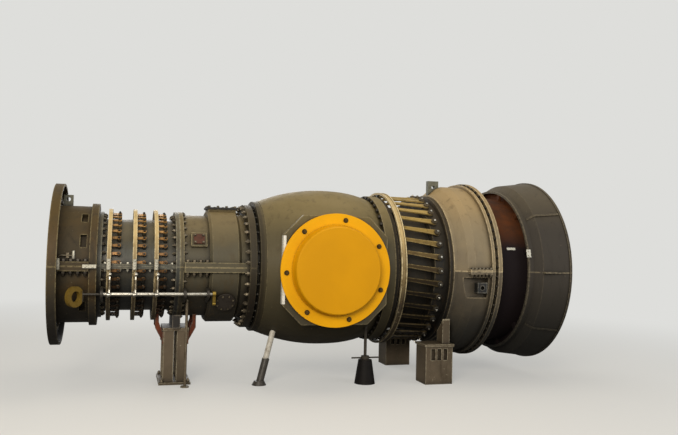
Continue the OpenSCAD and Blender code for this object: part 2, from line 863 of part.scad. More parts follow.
module side_pocket(s) {
    translate([pocket_at, s > 0 ? outlet_r - pocket_depth : -outlet_r - 60, -split_half - 40 - pocket_height])
        cube([pocket_length, pocket_depth + 60, pocket_height]);
}

// Square support blocks in the pockets on both sides.
module side_trunnions() {
    block = trunnion_block;
    color("#4c4a45")
    for (s = [-1, 1])
        translate([x_outlet + pocket_at + pocket_length - block - 20,
                   s > 0 ? outlet_r - pocket_depth : -outlet_r + pocket_depth - trunnion_depth,
                   -split_half - 40 - pocket_height / 2 - block / 2])
            difference() {
                cube([block, trunnion_depth, block]);
                translate([block / 2, s > 0 ? trunnion_depth / 2 : -1, block / 2]) rotate([-90, 0, 0])
                    cylinder(r = trunnion_hole_r, h = trunnion_depth / 2 + 1);
            }
}

module exhaust_duct() {
    r = duct_r;
    lip = exhaust_rim_r - exhaust_wall - seat_gap;
    clip_x = duct_length - duct_overlap - 26;
    color("#5a3426")
    translate([x_duct, 0, 0]) {
        turned([[r - duct_wall, 0], [r + 35, 0], [r + 35, 22], [r, 22], [r, duct_length - 20],
                [lip, duct_length - 20], [lip, duct_length], [r - duct_wall, duct_length]]);
        // Clips that steady the shell's front rim
        intersection() {
            round_shaft([for (i = [0 : rim_clips - 1]) (i + 0.5) * 360 / rim_clips])
                translate([clip_x, -26, r - 10]) cube([30, 52, lip]);
            along_x(lip, clip_x, duct_length);
        }
    }
}

module exhaust_shell(side) {
    w = exhaust_wall;
    rim = exhaust_rim_r;
    shoulder = exhaust_shoulder_r;
    start = exhaust_shoulder_at;
    back = exhaust_length;
    cone = [[rim, duct_overlap], [shoulder, start], [exhaust_r - 10, back - 26]];
    profile = concat([[rim - w, -30], [rim + 8, -30], [rim + 8, -12], [rim, -12]], cone,
        [[exhaust_r, back - 26], [exhaust_r, back], [exhaust_r - 10 - w, back],
         [shoulder - w, start + w * 0.5], [rim - w, duct_overlap + w * 0.5]]);
    color("#4a4b4b")
    translate([x_exhaust, 0, 0]) {
        turned_half(profile, side);
        split_flange(start, back - 26, shoulder - w * 0.5, exhaust_r - 8, side, exhaust_split_half);
        for (s = [-1, 1]) at_angle(s * (side > 0 ? exhaust_rib_angle : 180 - exhaust_rib_angle))
            exhaust_rib([[rim, duct_overlap + 4], [shoulder, start], [exhaust_r - 12, back - 40]]);
    }
}

// Stiffener along the cone, its outline in the plane through the shaft.
module exhaust_rib(line) {
    outer = [for (p = line) [p[1], p[0] + exhaust_rib_h]];
    inner = [for (p = reversed(line)) [p[1], p[0] - exhaust_wall / 2]];
    rotate([90, 0, 0]) linear_extrude(exhaust_rib_w, center = true) polygon(concat(outer, inner));
}

module exhaust_hub() {
    hub_end = x_end - hub_end_gap;
    strut_front = x_duct + 110;
    color("#4e3a30")
    union() {
        turned([[0, x_duct], [exhaust_hub_r, x_duct], [exhaust_hub_r, hub_end - 60],
                [exhaust_hub_r - 90, hub_end], [0, hub_end]]);
        intersection() {
            round_shaft([for (i = [0 : exhaust_struts - 1]) (i + 0.5) * 360 / exhaust_struts])
                translate([strut_front, -strut_thick / 2, exhaust_hub_r - 20])
                    cube([190, strut_thick, duct_r]);
            along_x(duct_r - duct_wall - seat_gap, x_duct, x_end);
        }
    }
    color("#8c8f90")
    difference() {
        union() {
            along_x(output_shaft_r, hub_end, x_end - coupling_thick);
            along_x(coupling_r, x_end - coupling_thick - 10, x_end - 10);
        }
        round_shaft([for (i = [0 : 11]) i * 30]) translate([0, 0, coupling_r - 34])
            along_x(11, x_end - coupling_thick - 20, x_end);
    }
}

// Last turbine wheel, seen through the exhaust.
module turbine_wheel() {
    tip = outlet_inner_front - 4;
    color("#6b625a")
    translate([x_outlet + wheel_at, 0, 0]) {
        along_x(exhaust_hub_r, 0, wheel_width);
        along_x(exhaust_hub_r - 40, wheel_width, outlet_length - wheel_at);
        intersection() {
            round_shaft([for (i = [0 : wheel_blades - 1]) i * 360 / wheel_blades])
                translate([wheel_width / 2, 0, exhaust_hub_r - 10]) rotate([0, 0, blade_twist])
                    translate([-40, -blade_thick / 2, 0]) cube([80, blade_thick, tip]);
            along_x(tip, 0, wheel_width);
        }
    }
}

// Lifting lugs on top of the inlet and outlet casings.
lug_thick = 60;
lug_w = 130;
lug_hole_r = 21;
rear_lug_at = 108;
front_lug_w = 90;
front_lug_at = 32;

module lifting_lug(x, w, low_r, top_r, hole_drop) {
    translate([x, 0, 0]) difference() {
        translate([-w / 2, -lug_thick / 2, low_r]) cube([w, lug_thick, top_r - low_r]);
        translate([0, 0, top_r - hole_drop]) rotate([90, 0, 0])
            cylinder(r = lug_hole_r, h = lug_thick + 2, center = true);
    }
}

module lifting_lugs() {
    color("#6a6f73") {
        difference() {
            lifting_lug(x_inlet + inlet_rim_w + front_lug_at, front_lug_w, inlet_barrel_r - 10,
                        inlet_barrel_r + 110, front_lug_w / 2);
            along_x(inlet_barrel_r + seat_gap, x_inlet, x_front);
        }
        difference() {
            lifting_lug(x_outlet + rear_lug_at, lug_w, outlet_front_r - 10, outlet_flange_r + 20, 73);
            translate([x_outlet, 0, 0]) turned(concat([[0, -1]], outlet_front(seat_gap), [[0, 200]]));
        }
    }
}

// Stands

stand_w = 2 * post_w + post_gap;
post_y = (stand_depth - post_w) / 2;

module front_stand() {
    color("#6f746f")
    translate([x_rear, 0, 0]) {
        translate([-stand_w / 2 - 40, -stand_depth / 2 - 60, 0])
            cube([stand_w + 80, stand_depth + 120, base_plate]);
        for (s = [-1, 1], t = [-1, 1])
            translate([s * (post_w + post_gap) / 2, t * post_y, base_plate]) post(post_height - base_plate);
        translate([-stand_w / 2 - 10, -stand_depth / 2 - 10, post_height])
            cube([stand_w + 20, stand_depth + 20, top_plate]);
    }
}

// One post, a wide-flange section.
module post(h) {
    half = post_w / 2;
    for (t = [-1, 1])
        translate([-half, t > 0 ? half - post_flange : -half, 0]) cube([post_w, post_flange, h]);
    translate([-post_web / 2, -half, 0]) cube([post_web, post_w, h]);
}

module stand_saddle() {
    base = post_height + top_plate;
    color("#3b403d")
    translate([x_rear, 0, 0]) difference() {
        translate([-saddle_w / 2, -saddle_reach, base])
            cube([saddle_w, 2 * saddle_reach, shaft_height - base - rear_flange_r + 95]);
        on_shaft() along_x(rear_flange_r + seat_gap, -saddle_w, saddle_w);
    }
}

// Sloping arms from the posts that steady the casings ahead of and behind the stand.
// Each one passes between two vane levers.
module stand_arms() {
    side = stand_w / 2;
    arm_run = x_rear - (x_front + ring_at[2] + unison_ring_w / 2 + arm_ring_gap) - side;
    color("#a8431c")
    for (s = [-1, 1]) {
        seat = s < 0 ? front_casing_r : rear_casing_r;
        top_z = shaft_height - seat + 60;
        root_z = post_height - 140;
        knee_z = shaft_height - lever_base_r - 60;
        for (t = [-1, 1]) difference() {
            translate([x_rear, 0, 0]) mirror([s < 0 ? 1 : 0, 0, 0]) {
                translate([side, t * post_y - post_w / 2, root_z]) cube([arm_plate, post_w, 130]);
                translate([0, t * arm_y + arm_thick_y / 2, 0]) rotate([90, 0, 0]) linear_extrude(arm_thick_y)
                    polygon([[side + 1, root_z + 10], [side + 1, root_z + 100],
                             [side + arm_run - arm_head, knee_z], [side + arm_run - arm_head, top_z],
                             [side + arm_run, top_z], [side + arm_run, knee_z - 60]]);
            }
            on_shaft() along_x(seat + seat_gap, x_front, x_spacer);
        }
    }
}

// Rod from the stand's base up to the side of the rear compressor casing.
module steady_rod() {
    top = shaft_height - sqrt(pow(rear_casing_r, 2) - pow(rod_at[1], 2));
    color("#9aa39c")
    difference() {
        translate([x_rear + rod_at[0], rod_at[1], 0]) {
            cylinder(r = rod_r, h = top + 40);
            cylinder(r = 3 * rod_r, h = 14);
        }
        on_shaft() along_x(rear_casing_r + seat_gap, x_rear, x_spacer);
    }
}

module screw_jack() {
    x = x_turbine - jack_before_flange;
    surface_r = crown(x - x_combustion, 0);
    seat = shaft_height - sqrt(pow(surface_r, 2) - pow(jack_side, 2));
    color("#2a2a2a")
    difference() {
        translate([x, jack_side, 0]) {
            cylinder(r1 = jack_base_r, r2 = jack_top_r, h = jack_cone);
            translate([0, 0, jack_cone - 1]) cylinder(r = 0.6 * jack_top_r, h = jack_collar_h + 1);
            translate([0, 0, jack_cone]) cylinder(r = jack_screw_r, h = seat + 20 - jack_cone);
            // Bar through the screw's nut
            translate([0, 0, jack_cone + jack_collar_h / 2]) along_x(jack_bar_r, -jack_bar, jack_bar);
        }
        combustion_seat();
    }
}

// Outside of the combustion casing, with the seat clearance.
module combustion_seat() {
    on_shaft() translate([x_combustion, 0, 0])
        turned(concat([[0, combustion_front_flange]], crown_points(-seat_gap),
                      [[0, combustion_length - combustion_rear_flange]]));
}

// Box pedestals under both sides of the turbine, with seats for its rear flange.
module rear_pedestals() {
    depth = 260;
    plate = 24;
    h = pedestal_box_height;
    box_x = x_outlet - pedestal_w + 55;
    seat_x = x_outlet - turbine_flange_w;
    seat_w = turbine_flange_w + 45;
    seat_depth = 140;
    seat_drop = 476;
    seat_top = shaft_height - seat_drop;
    color("#6e6d70")
    for (s = [-1, 1]) translate([0, s * pedestal_side, 0]) {
        difference() {
            translate([box_x, -depth / 2, 0]) cube([pedestal_w, depth, h]);
            // Slots in the upper part of the box
            for (i = [-1, 0, 1])
                translate([box_x + pedestal_w / 2 + i * 70 - 22, -depth / 2 - 1, h - 145])
                    cube([44, 31, 120]);
        }
        translate([box_x - plate / 2, -depth / 2 - plate / 2, h])
            cube([pedestal_w + plate, depth + plate, plate]);
        difference() {
            translate([seat_x, -seat_depth / 2, h + plate]) cube([seat_w, seat_depth, seat_top - h - plate]);
            translate([0, -s * pedestal_side, 0])
                on_shaft() along_x(outlet_front_r + seat_gap, seat_x - 1, seat_x + seat_w + 1);
        }
    }
}

// Prop that leans under the front of the combustion casing.
module inclined_prop() {
    surface_r = crown(prop_top_at[0], 0);
    foot = [x_combustion + prop_foot_at[0], prop_foot_at[1], 0];
    top = [x_combustion + prop_top_at[0], prop_top_at[1],
           shaft_height - sqrt(pow(surface_r, 2) - pow(prop_top_at[1], 2))];
    run = top - foot;
    length = norm(run);
    tilt = acos(run[2] / length);
    turn = atan2(run[1], run[0]);
    color("#a9adb0")
    difference() {
        translate(foot) {
            cylinder(r1 = prop_foot_r, r2 = prop_lower_r + 14, h = 44);
            rotate([0, tilt, turn]) {
                translate([0, 0, 22]) cylinder(r = prop_lower_r, h = length * 0.5 - 22);
                translate([0, 0, length * 0.5 - 1]) cylinder(r = prop_upper_r, h = length * 0.5 + 40);
            }
        }
        combustion_seat();
    }
}

on_shaft() inlet_casing(1);  // inlet_casing_upper
on_shaft() inlet_casing(-1);  // inlet_casing_lower
on_shaft() inlet_hub();
on_shaft() inlet_guide_vanes();
on_shaft() front_casing(1);  // front_casing_upper
on_shaft() front_casing(-1);  // front_casing_lower
on_shaft() vane_levers(0);  // vane_levers_1
on_shaft() vane_levers(1);  // vane_levers_2
on_shaft() vane_levers(2);  // vane_levers_3
on_shaft() ring_guide_pads();
on_shaft() unison_ring(0);  // unison_ring_1
on_shaft() unison_ring(1);  // unison_ring_2
on_shaft() unison_ring(2);  // unison_ring_3
on_shaft() torque_shaft();
on_shaft() torque_shaft_brackets();
on_shaft() ring_link(0);  // ring_link_1
on_shaft() ring_link(1);  // ring_link_2
on_shaft() ring_link(2);  // ring_link_3
on_shaft() rear_casing(1);  // rear_casing_upper
on_shaft() rear_casing(-1);  // rear_casing_lower
on_shaft() bleed_covers();
on_shaft() joint_spacer();
on_shaft() combustion_casing();
on_shaft() combustor_cover();
on_shaft() cover_bolts();
on_shaft() turbine_casing();
on_shaft() nozzle_ring_pads();
on_shaft() nozzle_levers();
on_shaft() nozzle_ring();
on_shaft() outlet_casing(1);  // outlet_casing_upper
on_shaft() outlet_casing(-1);  // outlet_casing_lower
on_shaft() lifting_lugs();
on_shaft() side_trunnions();
on_shaft() exhaust_duct();
on_shaft() exhaust_shell(1);  // exhaust_shell_upper
on_shaft() exhaust_shell(-1);  // exhaust_shell_lower
on_shaft() exhaust_hub();
on_shaft() turbine_wheel();
front_stand();
stand_saddle();
stand_arms();
steady_rod();
screw_jack();
rear_pedestals();
inclined_prop();
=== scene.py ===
import json
import math

import bpy
from mathutils import Matrix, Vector
import numpy as np


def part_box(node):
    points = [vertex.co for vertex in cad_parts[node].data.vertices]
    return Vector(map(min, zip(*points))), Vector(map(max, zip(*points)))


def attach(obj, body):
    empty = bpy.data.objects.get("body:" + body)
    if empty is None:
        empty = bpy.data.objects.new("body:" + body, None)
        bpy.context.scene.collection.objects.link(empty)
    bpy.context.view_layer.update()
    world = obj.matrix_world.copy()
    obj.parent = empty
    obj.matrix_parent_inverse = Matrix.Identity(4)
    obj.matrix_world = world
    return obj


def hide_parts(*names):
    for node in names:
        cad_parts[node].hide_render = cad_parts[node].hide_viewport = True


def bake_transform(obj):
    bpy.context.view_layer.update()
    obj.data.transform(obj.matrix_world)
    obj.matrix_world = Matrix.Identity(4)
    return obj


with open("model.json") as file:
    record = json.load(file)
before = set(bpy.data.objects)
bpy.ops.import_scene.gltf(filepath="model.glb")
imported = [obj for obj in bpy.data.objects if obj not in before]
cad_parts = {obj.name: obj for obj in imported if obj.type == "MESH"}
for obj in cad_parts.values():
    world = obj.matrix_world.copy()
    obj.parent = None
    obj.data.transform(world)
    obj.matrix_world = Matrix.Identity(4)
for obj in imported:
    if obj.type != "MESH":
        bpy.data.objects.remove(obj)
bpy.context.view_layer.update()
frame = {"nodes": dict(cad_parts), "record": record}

MM = 0.001
FULL_TURN = 2 * np.pi
X_AXIS, Y_AXIS, Z_AXIS = (1, 0, 0), (0, 1, 0), (0, 0, 1)
BOTH_SIDES = (-1, 1)


def corners(node):
    """Lowest and highest corner of a CAD node as two arrays."""
    low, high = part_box(node)
    return np.array(low, dtype=float), np.array(high, dtype=float)


def mount_point(name):
    """Place of one of the record's mounts."""
    return np.array(next(m["pos_m"] for m in frame["record"]["mounts"] if m["name"] == name))


SHAFT_Z = mount_point("inlet_flange_bolts")[2]
# Places along the shaft: the front faces of what they are named for, the exhaust's end and the
# front of the torque shaft's crank.
INLET_X, FRONT_X = (c[0] for c in corners("inlet_casing_upper"))
REAR_X = corners("front_casing_upper")[1][0]
SPACER_X, COMBUSTION_X = (c[0] for c in corners("joint_spacer"))
TURBINE_X, OUTLET_X = (c[0] for c in corners("turbine_casing"))
DUCT_X = corners("outlet_casing_upper")[1][0]
EXHAUST_X, END_X = (c[0] for c in corners("exhaust_shell_upper"))
CRANK_X = corners("torque_shaft")[1][0] - 0.036
# The unison rings are 38 wide, and their link pins stand out behind them.
RING_MIDDLE = 19 * MM


# Shapes. A shape is a pair: points, one row of x, y, z each, and quads, four corner numbers each.

def mm(*pairs):
    """Points that are written in millimetres, in metres."""
    return np.array(pairs) * MM


def unit(vectors):
    """The vectors, one a row, at length 1."""
    return vectors / np.linalg.norm(vectors, axis=-1, keepdims=True)


def grid_quads(rows, columns):
    """Quads between neighbours on a grid of rows x columns points, numbered row by row, each row
    being a closed ring."""
    r, c = np.meshgrid(np.arange(rows - 1), np.arange(columns), indexing="ij")
    here, beside = r * columns + c, r * columns + (c + 1) % columns
    return np.stack([here, here + columns, beside + columns, beside], axis=-1).reshape(-1, 4)


def cap_quads(ring):
    """Quads that close a ring of an even number of points, in strips between its two halves."""
    n = len(ring)
    k = np.arange(n // 2 - 1)
    return np.stack([ring[k], ring[k + 1], ring[n - 2 - k], ring[n - 1 - k]], axis=-1)


def facing_out(shape):
    """The closed shape with its quads turned so that it encloses a positive volume."""
    points, quads = shape
    a, b, c, d = (points[quads[:, i]] for i in range(4))
    volume = np.einsum("ij,ij->", a, np.cross(b, c)) + np.einsum("ij,ij->", a, np.cross(c, d))
    return (points, quads) if volume > 0 else (points, quads[:, ::-1])


def skinned(rings):
    """Solid over a stack of rings of points (rings x points x 3): quads from each ring to the
    next, and a cap over the first and the last."""
    rows, columns = rings.shape[:2]
    ring = np.arange(columns)
    quads = np.concatenate([grid_quads(rows, columns), cap_quads(ring)[:, ::-1],
                            cap_quads(ring + columns * (rows - 1))])
    return facing_out((rings.reshape(-1, 3), quads))


def joined(*shapes):
    """Several shapes as one."""
    starts = np.cumsum([0] + [len(points) for points, _ in shapes[:-1]])
    return (np.concatenate([points for points, _ in shapes]),
            np.concatenate([quads + start for (_, quads), start in zip(shapes, starts)]))


def lathed(profile, sides):
    """Solid of revolution about Z: (r, h) of the profile goes to (r cos t, r sin t, h)."""
    profile = np.array(profile, dtype=float)
    r, h = profile[:, :1], profile[:, 1:]
    t = np.arange(sides) * FULL_TURN / sides
    return skinned(np.stack([r * np.cos(t), r * np.sin(t), h + 0 * t], axis=-1))


def thick_plate(outline, low, high, bevel=0.0):
    """Flat plate between two heights: an outline that mirrors itself about its long axis, its
    points in order round it, is drawn in towards its middle by the bevel at both faces."""
    outline = np.array(outline, dtype=float)
    centre = outline.mean(axis=0)
    away = outline - centre
    inner = centre + away * (1 - bevel / np.linalg.norm(away, axis=1, keepdims=True))
    levels = ((inner, low), (outline, low + bevel), (outline, high - bevel), (inner, high))
    return skinned(np.stack([np.column_stack([ring, np.full(len(ring), h)]) for ring, h in levels]))


def tube(path, radius, sides):
    """Round bar along a path of points. Each ring stands square to the path, whose direction at
    a point is the mean of the two stretches that meet there, and it starts from the common
    normal of that direction and of a fixed slanting one, so that the rings don't twist."""
    path = np.array(path, dtype=float)
    along = unit(np.gradient(path, axis=0))
    side = unit(np.cross(along, [0.31, 0.23, 0.92]))
    across = np.cross(along, side)
    t = np.arange(sides) * FULL_TURN / sides
    return skinned(path[:, None] + radius * (np.cos(t)[None, :, None] * side[:, None]
                                             + np.sin(t)[None, :, None] * across[:, None]))


def copies(shape, origins, forward, side):
    """The shape once at each origin, with its +Z turned to forward and its +X to side."""
    points, quads = shape
    origins = np.atleast_2d(origins)
    forward = np.broadcast_to(np.array(forward, dtype=float), origins.shape)
    side = np.broadcast_to(np.array(side, dtype=float), origins.shape)
    turns = np.stack([side, np.cross(forward, side), forward], axis=-1)
    placed = np.einsum("mij,nj->mni", turns, points) + origins[:, None]
    shifted = quads[None] + (np.arange(len(origins)) * len(points))[:, None, None]
    return placed.reshape(-1, 3), shifted.reshape(-1, 4)


def round_places(x, radius, count, first=0.0):
    """Places spaced evenly round the shaft and their outward directions. The angle runs from
    straight up towards -Y, in degrees."""
    a = np.radians(first) + np.arange(count) * FULL_TURN / count
    outward = np.column_stack([0 * a, -np.sin(a), np.cos(a)])
    return np.array([x, 0, SHAFT_Z]) + radius * outward, outward


def side_places(x, z, side_y):
    """Places at x and z over the shaft on the -Y and +Y side, and their outward directions."""
    outward = np.array([[0.0, side, 0.0] for side in BOTH_SIDES])
    return np.array([x, 0, SHAFT_Z + z]) + side_y * outward, outward


def mirrored_outline(stations):
    """Outline from (x, half width) stations: out along +Y, back along -Y."""
    s = np.array(stations, dtype=float)
    return np.concatenate([s, s[::-1] * [1, -1]])


def block(length, width, height, bevel=2 * MM):
    """Chamfered block on Z = 0, length along X and width along Y."""
    half = mirrored_outline([(-length / 2, width / 2), (length / 2, width / 2)])
    return thick_plate(half, 0, height, bevel)


def rounded_lever(tip_x, hub_r, tip_r, neck=0.82):
    """Lever outline: an arc of hub_r round the origin, straight sides, an arc of tip_r at tip_x.
    The sides start at neck times hub_r, a fifth of the way out."""
    hub = np.radians(np.array([15, 45, 75, 100]))
    tip = np.radians(np.array([80, 110, 140, 168]))
    return mirrored_outline(np.concatenate([
        np.column_stack([hub_r * np.cos(hub), hub_r * np.sin(hub)]),
        [[tip_x * 0.22, hub_r * neck], [tip_x * 0.75, tip_r]],
        np.column_stack([tip_x + tip_r * np.cos(tip), tip_r * np.sin(tip)])]))


def twisted_blade(root, tip, chord, thick, turns):
    """Blade along +Z from root to tip: a lens-shaped outline in X and Y that is turned about Z by
    an angle which goes evenly from the first to the second of turns, in degrees."""
    levels, sides = 6, 10
    t = np.arange(sides) * FULL_TURN / sides
    x, y = chord / 2 * np.cos(t), thick / 2 * np.sin(t)
    a = np.radians(np.linspace(*turns, levels))[:, None]
    z = np.linspace(root, tip, levels)[:, None] + 0 * x
    return skinned(np.stack([x * np.cos(a) - y * np.sin(a), x * np.sin(a) + y * np.cos(a), z],
                            axis=-1))


def mesh_object(name, shape, material, smooth=35):
    """A Blender object at the origin from a shape. smooth is the angle in degrees up to which
    neighbouring faces are shaded as one surface."""
    points, quads = shape
    mesh = bpy.data.meshes.new(name)
    mesh.vertices.add(len(points))
    mesh.vertices.foreach_set("co", points.astype(np.float32).ravel())
    mesh.loops.add(quads.size)
    mesh.loops.foreach_set("vertex_index", quads.astype(np.int32).ravel())
    mesh.polygons.add(len(quads))
    mesh.polygons.foreach_set("loop_start", np.arange(0, quads.size, 4, dtype=np.int32))
    mesh.update(calc_edges=True)
    mesh.validate()
    mesh.polygons.foreach_set("use_smooth", np.ones(len(mesh.polygons), dtype=bool))
    mesh.set_sharp_from_angle(angle=math.radians(smooth))
    mesh.materials.append(material)
    obj = bpy.data.objects.new(name, mesh)
    bpy.context.scene.collection.objects.link(obj)
    return obj


def piece(name, shape, body, finish, smooth=35):
    """A piece of the machine in one of the finishes, riding on a body if one is named."""
    obj = mesh_object(name, shape, FINISH[finish], smooth)
    if body:
        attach(obj, body)
    return obj


# Finishes

def linear(code):
    """Linear RGBA of an sRGB hex colour."""
    srgb = np.array([int(code[i:i + 2], 16) for i in (0, 2, 4)]) / 255
    rgb = np.where(srgb <= 0.04045, srgb / 12.92, ((srgb + 0.055) / 1.055) ** 2.4)
    return (*rgb.tolist(), 1.0)


def per_mm(size):
    """Texture scale, in features per metre, for a feature of that many millimetres."""
    return 1.0 / (size * MM)


def add(tree, kind, inputs=None, **settings):
    """Adds one node. Settings are its properties, inputs its sockets' links or values, where a
    text is a hex colour."""
    node = tree.nodes.new(kind)
    for key, value in settings.items():
        setattr(node, key, value)
    for socket, value in (inputs or {}).items():
        if isinstance(value, bpy.types.NodeSocket):
            tree.links.new(value, node.inputs[socket])
        else:
            node.inputs[socket].default_value = linear(value) if isinstance(value, str) else value
    return node


def share(tree, *terms):
    """Product of its terms. A term of (value, low, high) is 0 where the value is below low, 1
    where it is above high and smooth between them. Any other term counts as it is."""
    product = None
    for term in terms:
        if isinstance(term, tuple):
            value, low, high = term
            term = add(tree, "ShaderNodeMapRange",
                       {"Value": value, "From Min": low, "From Max": high},
                       interpolation_type="SMOOTHSTEP").outputs["Result"]
        product = term if product is None else add(
            tree, "ShaderNodeMath", {0: product, 1: term}, operation="MULTIPLY").outputs["Value"]
    return product


def coat(tree, under, over, *terms):
    """One colour with another over it, as far as the product of the terms goes."""
    return add(tree, "ShaderNodeMix", {0: share(tree, *terms), 6: under, 7: over},
               data_type="RGBA").outputs[2]


def with_corner_shade(tree, colour, corner_shade, reach, clear, *terms):
    """The colour darkened by painted shade where surfaces meet: none where more than the share
    clear of the view within reach is open, and all of it where 0.6 less is."""
    meeting = add(tree, "ShaderNodeAmbientOcclusion", {"Distance": reach}, samples=4)
    return coat(tree, colour, corner_shade, (meeting.outputs["AO"], clear, clear - 0.6), *terms)


def empty_tree(owner):
    """The node tree of a material or world, emptied."""
    owner.use_nodes = True
    owner.node_tree.nodes.clear()
    return owner.node_tree


def new_finish(name, rough, gloss, metallic=0.0):
    """A material with its tree, its surface shader and its Object coordinates. Gloss sets the
    shader's specular level, and a metal keeps the default one."""
    material = bpy.data.materials.new(name)
    tree = empty_tree(material)
    shader = add(tree, "ShaderNodeBsdfPrincipled", {"Roughness": rough, "Metallic": metallic})
    if metallic < 0.5:
        shader.inputs["Specular IOR Level"].default_value = gloss
    add(tree, "ShaderNodeOutputMaterial", {"Surface": shader.outputs["BSDF"]})
    return material, tree, shader, add(tree, "ShaderNodeTexCoord").outputs["Object"]


def show(tree, shader, colour, height=None, depth_mm=0.0, strength=1.0):
    """Gives the shader its colour, and the relief of a height pattern of that depth."""
    tree.links.new(colour, shader.inputs["Base Color"])
    if height:
        relief = add(tree, "ShaderNodeBump",
                     {"Height": height, "Distance": depth_mm * MM, "Strength": strength})
        tree.links.new(relief.outputs["Normal"], shader.inputs["Normal"])


def aged(name, base, patch, stain, dust_and_lit_top=None, oil_and_shade=None, dust_and_light_from=(0.15, 0.7),
         oil_and_shade_from=(-0.55, 0.05), patch_mm=420, stain_share=0.5, grain_mm=4.0, relief_mm=0.5,
         rough=(0.45, 0.7), metallic=0.0, gloss=0.25, chips=None, chip_share=0.0, worn_edge_highlight=None,
         corner_shade="14120f", corner_shade_depth=0.75, dark_span=None):
    """Old metal skin. The base colour drifts to the patch colour over broad clouds. It turns to
    the dust colour between two heights over the shaft, dust and a painted top light in one,
    and to the oil colour between two heights under it, oil and painted shade in one. Runs of
    the stain colour hang down, the chips' colour shows in small flecks, and the edge colour
    where corners are rubbed, worn paint that is a painted edge highlight too. Painted shade
    darkens it where surfaces meet. It is darkened between two given places along the shaft.
    The grain is the cast or sprayed texture."""
    material, tree, shader, place = new_finish(name, rough[0], gloss, metallic)
    clouds = add(tree, "ShaderNodeTexNoise",
                 {"Vector": place, "Scale": per_mm(patch_mm), "Detail": 5.0,
                  "Roughness": 0.62}).outputs["Fac"]
    colour = coat(tree, base, patch, (clouds, 0.38, 0.64))
    position = add(tree, "ShaderNodeSeparateXYZ", {"Vector": place})
    # The clouds move the tide lines of dust with painted top light and of oil with painted shade by
    # up to 60 mm either way of their mean, 0.2.
    tide = add(tree, "ShaderNodeMath", {0: clouds, 1: 0.4, 2: position.outputs["Z"]},
               operation="MULTIPLY_ADD").outputs["Value"]
    level = SHAFT_Z + 0.2
    # Dust and a painted top light: paler above the shaft.
    if dust_and_lit_top:
        colour = coat(tree, colour, dust_and_lit_top, (tide, level + dust_and_light_from[0], level + dust_and_light_from[1]))
    # 1 where the skin is free of oil and painted shade, 0 where it is soaked and shaded.
    clear_of_oil_and_shade = share(tree, (tide, level + oil_and_shade_from[0], level + oil_and_shade_from[1]))
    # Oil and painted shade: darker under the shaft.
    if oil_and_shade:
        colour = coat(tree, oil_and_shade, colour, clear_of_oil_and_shade)
    # Runs are drawn long in Z: dirt and oil creep down a standing surface.
    hanging = add(tree, "ShaderNodeMapping", {"Vector": place, "Scale": (1.0, 1.0, 0.16)})
    runs = add(tree, "ShaderNodeTexNoise",
               {"Vector": hanging.outputs["Vector"], "Scale": per_mm(70), "Detail": 7.0,
                "Roughness": 0.66, "Distortion": 0.4}).outputs["Fac"]
    colour = coat(tree, colour, stain, (runs, 0.62 - 0.16 * stain_share, 0.86))
    grain = add(tree, "ShaderNodeTexNoise",
                {"Vector": place, "Scale": per_mm(grain_mm * 4), "Detail": 6.0,
                 "Roughness": 0.6}).outputs["Fac"]
    flecks = add(tree, "ShaderNodeTexNoise",
                 {"Vector": place, "Scale": per_mm(34), "Detail": 9.0,
                  "Roughness": 0.72}).outputs["Fac"]
    if chips:
        bare_from = 0.66 - 0.1 * chip_share
        colour = coat(tree, colour, chips, (flecks, bare_from, bare_from + 0.04))
    if worn_edge_highlight:
        # Rubbed corners, worn paint that is a painted edge highlight too, are drawn 12 mm wide,
        # about three times the real width, so that they show.
        rim = add(tree, "ShaderNodeAmbientOcclusion", {"Distance": 12 * MM}, samples=4,
                  inside=True)
        edge_rub_and_highlight = [(rim.outputs["AO"], 0.92, 0.6), (flecks, 0.36, 0.56)]
        if oil_and_shade:
            # Oil and painted shade dull a rubbed corner and its painted highlight to a quarter.
            edge_rub_and_highlight.append(add(tree, "ShaderNodeMapRange",
                            {"Value": clear_of_oil_and_shade, "To Min": 0.25, "To Max": 1.0}).outputs["Result"])
        colour = coat(tree, colour, worn_edge_highlight, *edge_rub_and_highlight)
    # Darker between two places along the shaft.
    if dark_span:
        along, fade = position.outputs["X"], 0.03
        colour = coat(tree, colour, "1c1611", (along, dark_span[0] - fade, dark_span[0] + fade),
                      (along, dark_span[1] + fade, dark_span[1] - fade), 0.7)
    # Painted shade where surfaces meet, within 70 mm.
    colour = with_corner_shade(tree, colour, corner_shade, 0.07, 0.95, corner_shade_depth)
    show(tree, shader, colour, grain, relief_mm, 0.8)
    sheen = add(tree, "ShaderNodeMapRange", {"Value": clouds, "From Min": 0.3, "From Max": 0.7,
                                             "To Min": rough[1], "To Max": rough[0]})
    tree.links.new(sheen.outputs["Result"], shader.inputs["Roughness"])
    return material


